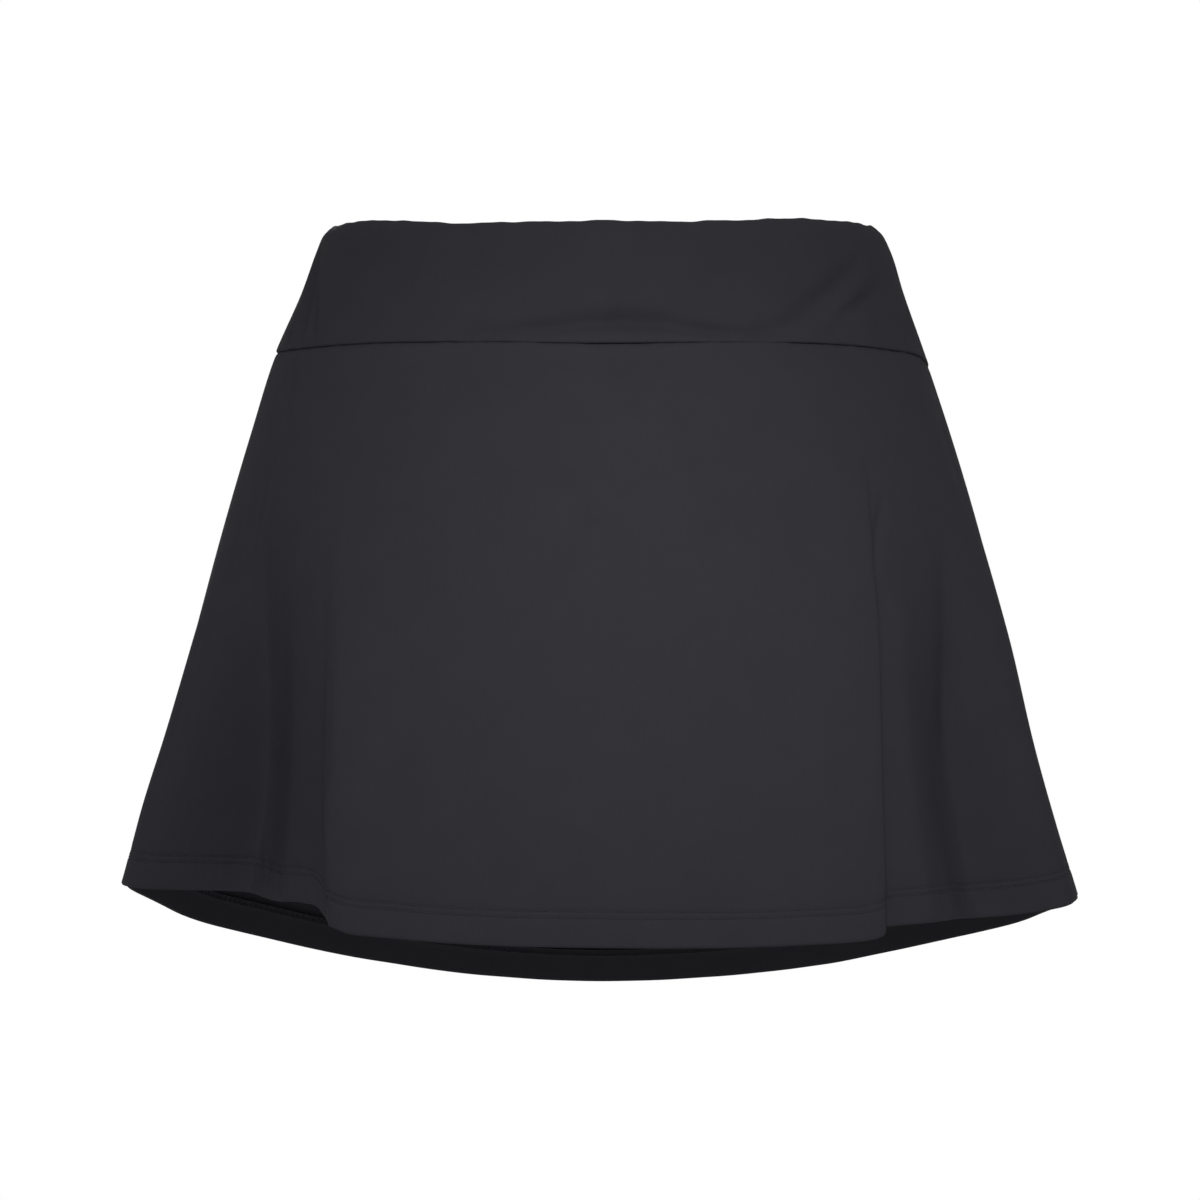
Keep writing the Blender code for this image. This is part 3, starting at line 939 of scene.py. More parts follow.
@dataclass(frozen=True)
class Hem:
    """A hem turned up once to the inside, and sewn with two needles and a thread between them inside.

    needle_rows are the stitches' heights above the edge. top_rows, step and low_rows place the lines of
    the wall's cross-section by the seam at its top, beside each row of stitches and above the edge.
    """

    cloth: float
    doubled: float
    depth: float
    needle_rows: tuple[float, float]
    needle_depth: float
    needle_width: float
    pitch: float
    thread: float
    top_rows: tuple[float, ...] = (0.0, 0.0004, 0.0008, 0.0013, 0.0020, 0.0030, 0.0044)
    low_rows: tuple[float, ...] = (0.0110, 0.0088, 0.0068, 0.0050, 0.0034, 0.0022)
    step: float = 0.0004
    steps_beside: int = 3
    low_gap: float = 0.0005
    plain_gap: float = 0.0040
    raw_bevel: tuple[float, float] = (0.0003, 0.0002)
    edge_steps: int = 4
    stagger: float = 0.25
    outer_lift: float = 1.25
    inner_lift: float = 0.5

    def lines(self, rows: int) -> list[Line]:
        """The cross-section of a panel that ends in this hem.

        Args:
            rows: How many rows there are above the hem.

        Returns:
            The lines, down the outside and back up the inside.
        """
        radius, inside = self.doubled / 2, self.doubled
        start, above = self.top_rows[-1], self.depth + self.plain_gap
        shares = np.linspace(0, 1, rows)[1:]
        plain = [(share, start * (1 - share) - above * share) for share in shares]
        beside = range(-self.steps_beside, self.steps_beside + 1)
        fine = sorted({round(row + k * self.step, 5) for row in self.needle_rows for k in beside})
        low = [d for d in self.low_rows if d < fine[0] - self.low_gap]
        lines = [Line(0, d, 0, 0) for d in self.top_rows]
        lines += [Line(share, fixed, 0, 0) for share, fixed in plain]
        lines += [Line(1, -d, 0, 0) for d in [*fine[::-1], *low, radius]]
        edge = Corner(1, -radius, radius, radius)
        lines += edge.lines(self.edge_steps, 0, 90, 0) + edge.lines(self.edge_steps, 90, 180, 1)
        lines += [Line(1, -d, inside, 1) for d in low[-2::-1] + fine if d < self.depth - self.step]
        down, across = self.raw_bevel
        lines += [Line(1, -self.depth, inside, 1), Line(1, -self.depth - down, inside - across, 1)]
        lines += [Line(1, -self.depth - down, self.cloth, 1)]
        lines += [Line(share, fixed, self.cloth, 1) for share, fixed in plain[::-1]]
        return lines + [Line(0, d, self.cloth, 1) for d in self.top_rows[::-1]]

    def sunk(self, face: Face) -> np.ndarray:
        """How far the rows of stitches sink into each point of a face."""
        rows = (np.exp(-(((face.run_up - row) / self.needle_width) ** 2)) for row in self.needle_rows)
        return self.needle_depth * sum(rows)

    def sew(self, name: str, face: Face, fabric: Fabric) -> bpy.types.Object:
        """Sews the hem, with straight stitches on both sides and a zigzag inside.

        Args:
            name: The piece's name.
            face: The panel's face.
            fabric: The panel's cloth.

        Returns:
            The piece.
        """
        points, normals, _ = face.sample(np.ones(2), -np.array(self.needle_rows))
        outer = [SewnLine(*row) for row in zip(points, normals)]
        through = self.doubled + self.thread * self.inner_lift
        inner = [SewnLine(line.points - line.normals * through, -line.normals) for line in outer]
        lift = self.thread * self.outer_lift
        groups = [line.straight(self.pitch, self.stagger * k, lift) for k, line in enumerate(outer)]
        groups.append(zigzag(*inner, self.pitch, 0.0))
        groups += [line.straight(self.pitch, 0.0, self.thread) for line in inner]
        return Thread(self.thread).lay(name, groups, fabric)


class FreeEdge(Enum):
    """The edge of a seam allowance that isn't caught in the seam."""

    FOOT = "foot"
    FIRST_COLUMN = "first column"
    LAST_COLUMN = "last column"


@dataclass(frozen=True)
class Allowance:
    """A seam allowance inside a panel, with an overlock stitch over its free edge.

    face is its outer face, against the panel, and cloth is how thick its layers are together.
    """

    name: str
    face: Face
    free: FreeEdge
    cloth: float
    rows: int = 9
    edge_steps: int = 5
    thread: float = 0.00015
    thread_sides: int = 5
    clear: float = 0.0001
    loop_reach: float = 0.45
    loop_pitch: float = 0.0024
    loop_lift: float = 0.00008
    chain_pitch: float = 0.0026
    chain_lift: float = 0.00016

    def lines(self) -> list[Line]:
        """The cross-section of the strip, with soft edges.

        Returns:
            The lines, down the outside and back up the inside.
        """
        radius = self.cloth / 2
        plain = [(share, radius * (1 - 2 * share)) for share in np.linspace(0, 1, self.rows)]
        lines = [Line(share, fixed, 0, 1) for share, fixed in plain]
        lines += Corner(1, -radius, radius, radius).lines(self.edge_steps, 0, 180, 1)
        lines += [Line(share, fixed, self.cloth, 1) for share, fixed in plain[-2::-1]]
        return lines + Corner(0, radius, radius, radius).lines(self.edge_steps, 180, 360, 1)[:-1]

    def rims(self) -> list[SewnLine]:
        """The free edge, and the line on the strip that the stitch's loops reach to."""
        inside = self.face.points - self.face.normals * (self.cloth + self.clear)
        outward = -self.face.normals
        rows, columns = inside.shape[:2]
        reached = round(self.loop_reach * (columns - 1))
        places = {
            FreeEdge.FOOT: (-1, rows // 2 - 1),
            FreeEdge.FIRST_COLUMN: (0, reached),
            FreeEdge.LAST_COLUMN: (-1, -reached),
        }
        if self.free is not FreeEdge.FOOT:
            inside, outward = inside.swapaxes(0, 1), outward.swapaxes(0, 1)
        return [SewnLine(inside[place], outward[place]) for place in places[self.free]]

    def build(self, fabric: Fabric) -> list[bpy.types.Object]:
        """Builds the strip and its thread.

        Args:
            fabric: The panel's cloth.

        Returns:
            The strip and its thread.
        """
        strip = ClothWall(self.name, self.face, self.lines(), fabric).build()
        edge, reached = self.rims()
        loops = zigzag(edge, reached, self.loop_pitch, self.loop_lift)
        chain = reached.straight(self.chain_pitch, 0.0, self.chain_lift)
        laid = Thread(self.thread, self.thread_sides).lay(f"{self.name}_overlock", [loops, chain], fabric)
        return [strip, laid]


@dataclass(frozen=True)
class EndSeam:
    """The seam at a panel's first or last column, whose allowance runs down from start to the hem.

    measured is the part of the panel's height, counted from the top, at which the width holds.
    """

    width: float
    start: float
    rows: int
    layers: float
    measured: int
    above_hem: float = 0.0008
    clear: float = 0.0002

    def allow(
        self, name: str, face: Face, at_start: bool, hem: Hem, fabric: Fabric
    ) -> list[bpy.types.Object]:
        """Builds the allowance.

        Args:
            name: The strip's name.
            face: The panel's face.
            at_start: Whether the seam is at the first column.
            hem: The panel's hem.
            fabric: The panel's cloth.

        Returns:
            The strip and its thread.
        """
        columns = face.beside_end(at_start, len(face.points) // self.measured, self.width)
        foot = -hem.depth - self.above_hem
        strip = face.patch(columns, (0, self.start), (1, foot), self.rows, hem.cloth + self.clear)
        free = FreeEdge.LAST_COLUMN if at_start else FreeEdge.FIRST_COLUMN
        return Allowance(name, strip, free, self.layers).build(fabric)


class Value:
    """A number in a material that takes part in sums, each of which adds its Math nodes."""

    def __init__(self, desk: "Desk", socket: bpy.types.NodeSocket) -> None:
        """Wraps a socket."""
        self.desk = desk
        self.socket = socket

    def _with(self, operation: str, *others: "Value | float") -> "Value":
        """Joins this value with others through one Math node."""
        return self.desk.maths(operation, self, *others)

    def __add__(self, other: "Value | float") -> "Value":
        """The sum."""
        return self._with("ADD", other)

    def __radd__(self, other: float) -> "Value":
        """The sum."""
        return self._with("ADD", other)

    def __sub__(self, other: "Value | float") -> "Value":
        """The difference."""
        return self._with("SUBTRACT", other)

    def __rsub__(self, other: float) -> "Value":
        """The difference, the other way round."""
        return self.desk.maths("SUBTRACT", other, self)

    def __mul__(self, other: "Value | float") -> "Value":
        """The product."""
        return self._with("MULTIPLY", other)

    def __rmul__(self, other: float) -> "Value":
        """The product."""
        return self._with("MULTIPLY", other)

    def __truediv__(self, other: "Value | float") -> "Value":
        """The quotient."""
        return self._with("DIVIDE", other)

    def __abs__(self) -> "Value":
        """The size without its sign."""
        return self._with("ABSOLUTE")

    def __pow__(self, power: float) -> "Value":
        """The power."""
        return self._with("POWER", power)

    def part(self) -> "Value":
        """What is over the whole number below."""
        return self._with("FRACT")

    def sine(self) -> "Value":
        """The sine."""
        return self._with("SINE")

    def step(self, low: float, high: float) -> "Value":
        """0 up to low, 1 from high, and a smooth rise between."""
        share = ((self - low) / (high - low))._with("MAXIMUM", 0.0)._with("MINIMUM", 1.0)
        return share * share * (3 - 2 * share)


class Noise(NamedTuple):
    """Soft noise in a finish.

    scale is how many of its lumps lie in a metre, detail its finer layers and harshness their strength.
    tone and rough are how much it changes the finish's tone and roughness, and stretch is how the place
    is scaled along each axis.
    """

    scale: float
    detail: float
    tone: float = 0.0
    rough: float = 0.0
    stretch: tuple[float, float, float] = (1, 1, 1)
    harshness: float = 0.55


class Desk:
    """Where the nodes of a material or a world are made and wired."""

    def __init__(self, owner: bpy.types.Material | bpy.types.World) -> None:
        """Switches the owner's nodes on."""
        owner.use_nodes = True
        self.owner = owner
        self.tree = owner.node_tree

    @property
    def shader(self) -> bpy.types.Node:
        """A material's Principled shader."""
        return self.tree.nodes["Principled BSDF"]

    def node(
        self, kind: str, settings: dict[str, object], sockets: dict[str | int, object]
    ) -> bpy.types.Node:
        """Adds a node.

        Args:
            kind: The node's type.
            settings: Its settings, which are set first.
            sockets: The values or links of its sockets.

        Returns:
            The node.
        """
        node = self.tree.nodes.new(kind)
        for name, setting in settings.items():
            setattr(node, name, setting)
        for name, value in sockets.items():
            self.wire(value, node.inputs[name])
        return node

    def wire(self, value: object, socket: bpy.types.NodeSocket) -> None:
        """Links a value to a socket, or sets it there."""
        if isinstance(value, Value):
            self.tree.links.new(value.socket, socket)
        elif isinstance(value, bpy.types.NodeSocket):
            self.tree.links.new(value, socket)
        else:
            socket.default_value = value

    def maths(self, operation: str, *values: Value | float) -> Value:
        """A Math node's result."""
        node = self.node("ShaderNodeMath", {"operation": operation}, dict(enumerate(values)))
        return Value(self, node.outputs[0])

    def parts(self, vector: bpy.types.NodeSocket) -> list[Value]:
        """The three parts of a vector."""
        split = self.node("ShaderNodeSeparateXYZ", {}, {"Vector": vector})
        return [Value(self, socket) for socket in split.outputs]

    def grain(self) -> list[Value]:
        """The place across and along the cloth's grain, in metres."""
        return self.parts(self.node("ShaderNodeUVMap", {"uv_map": GRAIN}, {}).outputs["UV"])[:2]

    def place(self) -> bpy.types.NodeSocket:
        """The place on the object, in metres."""
        return self.node("ShaderNodeTexCoord", {}, {}).outputs["Object"]

    def cloud(self, noise: Noise) -> Value:
        """Soft noise from 0 to 1."""
        mapping = self.node("ShaderNodeMapping", {}, {"Vector": self.place(), "Scale": noise.stretch})
        sockets = {"Scale": noise.scale, "Detail": noise.detail, "Roughness": noise.harshness}
        sockets["Vector"] = mapping.outputs["Vector"]
        return Value(self, self.node("ShaderNodeTexNoise", {}, sockets).outputs["Fac"])

    def blend(self, share: Value, low: Sequence[float], high: Sequence[float]) -> bpy.types.NodeSocket:
        """A colour between two others.

        Args:
            share: 0 for the first colour and 1 for the second.
            low: The first colour.
            high: The second colour.

        Returns:
            The colour's socket.
        """
        settings = {"data_type": "RGBA", "clamp_factor": True}
        # The places of the node's sockets for colours.
        factor, first, second, mixed = 0, 6, 7, 2
        sockets = {factor: share, first: (*low, 1.0), second: (*high, 1.0)}
        return self.node("ShaderNodeMix", settings, sockets).outputs[mixed]

    def raise_surface(self, height: Value, distance: float, strength: float) -> None:
        """Gives the shader a bumped normal."""
        sockets = {"Height": height, "Distance": distance, "Strength": strength}
        self.wire(self.node("ShaderNodeBump", {}, sockets).outputs["Normal"], self.shader.inputs["Normal"])

    def set(self, **values: float) -> None:
        """Sets constant sockets of the shader, named with _ for each space."""
        for name, value in values.items():
            self.shader.inputs[name.replace("_", " ")].default_value = value


def varied(middle: float, *parts: tuple[Value, float]) -> Value:
    """A middle value, moved up and down by others.

    Args:
        middle: The middle value.
        parts: Values that run from 0 to 1, each with how far it moves the result in all.

    Returns:
        The varied value.
    """
    total = middle
    for part, share in parts:
        total = total + (part - 0.5) * share
    return total


def shaded(colour: Sequence[float], factor: float) -> list[float]:
    """A colour made lighter or darker by a factor."""
    return [channel * factor for channel in colour]


@dataclass(frozen=True)
class KnitFinish:
    """A fine interlock knit: columns of small loops, a little fuzz, and cloth that is never quite even.

    wale and course are the sizes of its loops across and along the grain, and slant is how far their
    legs lean, as a share of a course. unevenness is how far its tone goes to either side of its colour.
    """

    name: str
    colour: tuple[float, float, float]
    roughness: float = 0.84
    specular: float = 0.04
    wale: float = 0.00074
    course: float = 0.00062
    slant: float = 0.55
    roundness: float = 0.55
    relief: float = 0.00011
    relief_strength: float = 0.55
    loop_relief: float = 0.80
    fuzz_relief: float = 0.35
    loop_tone: float = 0.35
    loop_rough: float = -0.04
    unevenness: float = 0.20
    # Painted shade: how far the inner side's tone is lowered, standing in for the shade inside the garment.
    inner_painted_shade: float = 0.60
    fuzz: Noise = Noise(2600, 2, tone=0.30, rough=0.10)
    patches: Noise = Noise(48, 3, tone=0.35)
    streaks: Noise = Noise(900, 2, tone=0.30, stretch=(1, 1, 0.03))

    def material(self) -> bpy.types.Material:
        """Makes the finish.

        Returns:
            The material.
        """
        desk = Desk(bpy.data.materials.new(self.name))
        across, along = desk.grain()
        leg = abs((across / self.wale).part() - 0.5) * 2
        legs = (leg * math.pi).sine()
        loop = abs((along / self.course + leg * self.slant).part() - 0.5) * 2
        knit = legs * (1 - loop**2 * self.roundness)
        fuzz, patches, streaks = desk.cloud(self.fuzz), desk.cloud(self.patches), desk.cloud(self.streaks)
        mark = desk.node("ShaderNodeAttribute", {"attribute_name": INNER_SIDE}, {})
        inner = Value(desk, mark.outputs["Fac"])
        clouds = ((patches, self.patches.tone), (streaks, self.streaks.tone), (fuzz, self.fuzz.tone))
        # The inner side's tone is lowered here as painted shade.
        tone = varied(0.5, *clouds, (knit, self.loop_tone)) - inner * self.inner_painted_shade
        low, high = shaded(self.colour, 1 - self.unevenness), shaded(self.colour, 1 + self.unevenness)
        desk.wire(desk.blend(tone, low, high), desk.shader.inputs["Base Color"])
        rough = varied(self.roughness, (fuzz, self.fuzz.rough), (knit, self.loop_rough))
        desk.wire(rough, desk.shader.inputs["Roughness"])
        height = knit * self.loop_relief + fuzz * self.fuzz_relief
        desk.raise_surface(height, self.relief, self.relief_strength)
        desk.set(Specular_IOR_Level=self.specular)
        return desk.owner


@dataclass(frozen=True)
class ThreadFinish:
    """Spun polyester thread, a little smoother than the knit."""

    name: str
    colour: tuple[float, float, float]
    roughness: float = 0.62
    specular: float = 0.12
    unevenness: float = 0.22
    relief: float = 0.00005
    relief_strength: float = 0.5
    twist: Noise = Noise(2200, 1, tone=0.7)
    patches: Noise = Noise(60, 2, tone=0.5, rough=0.12)

    def material(self) -> bpy.types.Material:
        """Makes the finish.

        Returns:
            The material.
        """
        desk = Desk(bpy.data.materials.new(self.name))
        twist, patches = desk.cloud(self.twist), desk.cloud(self.patches)
        tone = varied(0.5, (twist, self.twist.tone), (patches, self.patches.tone))
        low, high = shaded(self.colour, 1 - self.unevenness), shaded(self.colour, 1 + self.unevenness)
        desk.wire(desk.blend(tone, low, high), desk.shader.inputs["Base Color"])
        desk.wire(varied(self.roughness, (patches, self.patches.rough)), desk.shader.inputs["Roughness"])
        desk.raise_surface(twist, self.relief, self.relief_strength)
        desk.set(Specular_IOR_Level=self.specular)
        return desk.owner


@dataclass(frozen=True)
class FloorFinish:
    """A plain pale studio floor, which grows to white light toward its edge."""

    name: str = "pale_floor"
    colour: tuple[float, float, float] = (0.92, 0.92, 0.92)
    unevenness: float = 0.015
    roughness: float = 0.75
    specular: float = 0.2
    patches: Noise = Noise(0.8, 2, rough=0.05)
    fade: tuple[float, float] = (2.4, 4.9)
    edge_light: float = 0.42

    def material(self) -> bpy.types.Material:
        """Makes the finish.

        Returns:
            The material.
        """
        desk = Desk(bpy.data.materials.new(self.name))
        patches = desk.cloud(self.patches)
        low = shaded(self.colour, 1 - self.unevenness)
        desk.wire(desk.blend(patches, low, self.colour), desk.shader.inputs["Base Color"])
        desk.wire(varied(self.roughness, (patches, self.patches.rough)), desk.shader.inputs["Roughness"])
        x, y, _ = desk.parts(desk.place())
        edge = ((x * x + y * y) ** 0.5).step(*self.fade)
        desk.wire(desk.blend(edge, [0.0] * 3, [self.edge_light] * 3), desk.shader.inputs["Emission Color"])
        desk.set(Specular_IOR_Level=self.specular, Emission_Strength=1.0)
        return desk.owner


@dataclass
class Fabrics:
    """The garment's three cloths, each with its thread."""

    skirt: Fabric
    band: Fabric
    shorts: Fabric

    @classmethod
    def made(cls) -> "Fabrics":
        """Makes the cloths and their materials."""
        finishes = (
            KnitFinish("charcoal_interlock", (0.0268, 0.0258, 0.0309)),
            # The band's copy of the knit is a little darker than the skirt's: painted shade on the band.
            KnitFinish("charcoal_interlock_doubled", (0.0256, 0.0247, 0.0295)),
            KnitFinish("black_stretch_jersey", (0.0200, 0.0192, 0.0229), roughness=0.74, specular=0.08),
            ThreadFinish("charcoal_thread", (0.0270, 0.0261, 0.0312)),
            ThreadFinish("black_thread", (0.0200, 0.0192, 0.0228)),
        )
        single, doubled, jersey, charcoal_thread, black_thread = (finish.material() for finish in finishes)
        return cls(
            skirt=Fabric(SKIRT_SLOT, single, charcoal_thread),
            band=Fabric(BAND_SLOT, doubled, charcoal_thread),
            shorts=Fabric(SHORTS_SLOT, jersey, black_thread),
        )


# Columns beside a panel's end seams, in metres from its end, and how far beyond them the others begin.
END_COLUMNS = np.array([0.0005, 0.0010, 0.0016, 0.0024, 0.0034])
END_CLEAR = 1.2


def beside_ends(places: np.ndarray, scale: float) -> np.ndarray:
    """Adds narrow columns at both ends of a row of places, where the cloth is drawn into its seams.

    Args:
        places: Rising places, in degrees.
        scale: Metres to a degree.

    Returns:
        All places, rising.
    """
    narrow = END_COLUMNS / scale
    clear = narrow[-1] * END_CLEAR
    inner = places[(places > places[0] + clear) & (places < places[-1] - clear)]
    return np.concatenate([places[:1], places[0] + narrow, inner, places[-1] - narrow[::-1], places[-1:]])


@dataclass
class Waistband:
    """The wide doubled waistband, front and back.

    roll is how far the folded top edge rolls in at the sides and at the middle of a panel, and each of
    ripples is a wave of that edge: its count round the garment, its start in degrees and its height.
    """

    form: GarmentForm
    fabric: Fabric
    cloth: float = 0.0030
    proud: float = 0.0005
    corner: float = 0.0009
    seam_gap: float = 0.0001
    fine_rows: int = 180
    rows: int = 66
    fold_steps: int = 6
    corner_steps: int = 5
    foot_steps: int = 3
    side_depth: float = 0.0010
    side_width: float = 0.0016
    roll: tuple[float, float] = (0.0038, 0.0006)
    roll_width: float = 0.0028
    roll_toward_sides: int = 3
    roll_fade: float = 1.5
    ripples: tuple[tuple[float, float, float], ...] = ((7, 40, 0.00030), (17, 150, 0.00018), (31, 0, 0.00012))
    puckers: tuple[Pucker, ...] = (
        Pucker(PanelEdge.TOP, 0.0, 0.006, 1, 0.00022, (0.011, 0.017, 0.029), 5),
        Pucker(PanelEdge.FOOT, 0.0, 0.005, 1, 0.00016, (0.009, 0.015, 0.023), 6),
    )
    panels: tuple[Panel, ...] = (
        Panel(Side.FRONT, 240, FRONT_BAND_CREASES, (0.432, 0.062)),
        Panel(Side.BACK, 240, BACK_BAND_CREASES, (0.445, 0.070)),
    )

    def face(self, panel: Panel) -> Face:
        """The outer face of one panel, creased.

        Args:
            panel: Which panel.

        Returns:
            Its face.
        """
        start, end = panel.side.value
        scale = self.form.degree("waist", "front")
        half_gap = self.seam_gap / 2 / scale
        angle = beside_ends(np.linspace(start + half_gap, end - half_gap, panel.columns), scale)[None, :]
        share = np.linspace(0, 1, self.fine_rows)[:, None]
        top = self.form.edge("band_top", angle) + self.top_ripple(angle)
        height = top + (self.form.edge("band_seam", angle) - top) * share
        at_sides, at_middle = self.roll
        toward_sides = np.abs(np.cos(np.radians(angle))) ** self.roll_toward_sides
        rolled = at_middle + (at_sides - at_middle) * toward_sides
        outward = self.proud - rolled * np.exp(-(((top - height) / self.roll_width) ** self.roll_fade))
        face = Face(self.form.ring(angle, height, outward), angle + 0 * share, angle.shape[1] // 2)
        face.press(panel.creases)
        face.pucker(self.puckers)
        face.draw_in(self.side_depth, self.side_width)
        return face

    def top_ripple(self, angle: np.ndarray) -> np.ndarray:
        """How far the folded top edge wavers up and down."""
        return sum(np.sin(np.radians(angle * count + start)) * size for count, start, size in self.ripples)

    def lines(self) -> list[Line]:
        """The cross-section, folded over at its top and with rounded corners at its seam.

        Returns:
            The lines, down the outside and back up the inside.
        """
        radius = self.cloth / 2
        shares = np.linspace(0, 1, self.rows)[1:]
        plain = [(share, radius * (1 - share) - self.corner * share) for share in shares]
        fold = Corner(0, radius, radius, radius)
        outer = Corner(1, -self.corner, self.corner, self.corner)
        inner = Corner(1, -self.corner, self.cloth - self.corner, self.corner)
        foot = (self.cloth - 2 * self.corner) / self.foot_steps
        lines = fold.lines(self.fold_steps, -90, 0, 0)
        lines += [Line(share, fixed, 0, 0) for share, fixed in plain]
        lines += outer.lines(self.corner_steps, 0, 90, 0)
        lines += [Line(1, 0, self.corner + foot * k, 1) for k in range(1, self.foot_steps + 1)]
        lines += inner.lines(self.corner_steps, 90, 180, 1)
        lines += [Line(share, fixed, self.cloth, 1) for share, fixed in plain[-2::-1]]
        return lines + [Line(0, radius, self.cloth, 1)] + fold.lines(self.fold_steps, 180, 270, 1)

    def build(self) -> list[bpy.types.Object]:
        """Builds both panels.

        Returns:
            The panels.
        """
        pieces = []
        for panel in self.panels:
            word = panel.side.word
            piece = ClothWall(f"band_{word}", self.face(panel), self.lines(), self.fabric).build()
            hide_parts(f"waistband_{word}")
            pieces.append(piece)
        return pieces


@dataclass
class Skirt:
    """The flared skirt, front and back, with its turned-up and twin-needled hem.

    waist_strip is how far below the seam the waist's allowance starts and ends, and waist_inset how
    far inside the panel's face it lies.
    """

    form: GarmentForm
    fabric: Fabric
    hem: Hem = Hem(
        cloth=0.0012,
        doubled=0.0022,
        depth=0.0170,
        needle_rows=(0.0140, 0.0172),
        needle_depth=0.00042,
        needle_width=0.00085,
        pitch=0.0031,
        thread=0.00017,
    )
    top_drop: float = 0.0002
    top_depth: float = 0.0007
    top_width: float = 0.0013
    side_depth: float = 0.0010
    side_width: float = 0.0016
    seam_gap: float = 0.000004
    fine_rows: int = 300
    rows: int = 84
    crowding: float = 2.2
    crowding_points: int = 2001
    puckers: tuple[Pucker, ...] = (
        Pucker(PanelEdge.FOOT, 0.0156, 0.006, 2, 0.00020, (0.008, 0.012, 0.019), 11),
        Pucker(PanelEdge.FOOT, 0.0, 0.030, 1, 0.00045, (0.034, 0.055, 0.083), 12),
        Pucker(PanelEdge.TOP, 0.0, 0.005, 1, 0.00016, (0.008, 0.013, 0.021), 13),
    )
    panels: tuple[Panel, ...] = (
        Panel(Side.FRONT, 330, FRONT_SKIRT_CREASES, (0.690, 0.306), 0.172),
        Panel(Side.BACK, 290, BACK_SKIRT_CREASES, (0.690, 0.340), 0.187),
    )
    waist_strip: tuple[float, float] = (0.0006, 0.0088)
    waist_inset: float = 0.0032
    waist_layers: float = 0.0016
    waist_rows: int = 8
    side_seam: EndSeam = EndSeam(width=0.0075, start=0.0180, rows=60, layers=0.0012, measured=2)

    def hem_angles(self, start: float, end: float, count: int) -> np.ndarray:
        """Angles from start to end, crowded where the folds are deep.

        Args:
            start: The first angle.
            end: The last angle.
            count: How many there are.

        Returns:
            The angles.
        """
        fine = np.linspace(start, end, self.crowding_points)
        crowd = sum(abs(fold.depth) * self.form.swell(fold, fine) for fold in self.form.folds)
        density = 1 + self.crowding * crowd / crowd.max()
        length = np.concatenate([[0], np.cumsum((density[1:] + density[:-1]) / 2)])
        return np.interp(np.linspace(0, length[-1], count), length, fine)

    def face(self, panel: Panel) -> Face:
        """The outer face of one panel, creased and sewn.

        Args:
            panel: Which panel.

        Returns:
            Its face.
        """
        start, end = panel.side.value
        scale = self.form.degree("band_seam", "front")
        half_gap = self.seam_gap / 2 / scale
        angle = beside_ends(self.hem_angles(start + half_gap, end - half_gap, panel.columns), scale)[None, :]
        share = np.linspace(0, 1, self.fine_rows)[:, None]
        points, turned = self.form.skirt(*np.broadcast_arrays(angle, share))
        points[..., 2] -= self.top_drop * (1 - share)
        face = Face(points, turned, int(np.argmin(abs(angle[0] - (start + end) / 2))))
        face.press(panel.creases)
        face.pucker(self.puckers)
        face.draw_in(self.side_depth, self.side_width)
        tucked = self.top_depth * np.exp(-((face.run_down / self.top_width) ** 2))
        face.move(-self.hem.sunk(face) - tucked)
        return face

    def build(self) -> list[bpy.types.Object]:
        """Builds both panels and their sewing.

        Returns:
            The panels.
        """
        pieces = []
        lines = self.hem.lines(self.rows)
        for panel in self.panels:
            word = panel.side.word
            face = self.face(panel)
            piece = ClothWall(f"flared_{word}", face, lines, self.fabric).build()
            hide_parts(f"skirt_{word}")
            sewing = self.hem.sew(f"hem_stitches_{word}", face, self.fabric)
            allowances = self.allowances(panel.side, face)
            pieces.append(piece)
        return pieces

    def allowances(self, side: Side, face: Face) -> list[bpy.types.Object]:
        """The overlocked seam allowances inside one panel.

        Args:
            side: Which panel.
            face: Its face.

        Returns:
            The pieces: round the waist and, in the back panel, down both side seams.
        """
        top, foot = self.waist_strip
        waist = face.patch(slice(None, None, 2), (0, top), (0, foot), self.waist_rows, self.waist_inset)
        name = f"waist_allowance_{side.word}"
        pieces = Allowance(name, waist, FreeEdge.FOOT, self.waist_layers).build(self.fabric)
        if side is Side.BACK:
            for word, at_start in (("right", True), ("left", False)):
                name = f"side_allowance_{word}"
                pieces += self.side_seam.allow(name, face, at_start, self.hem, self.fabric)
        return pieces


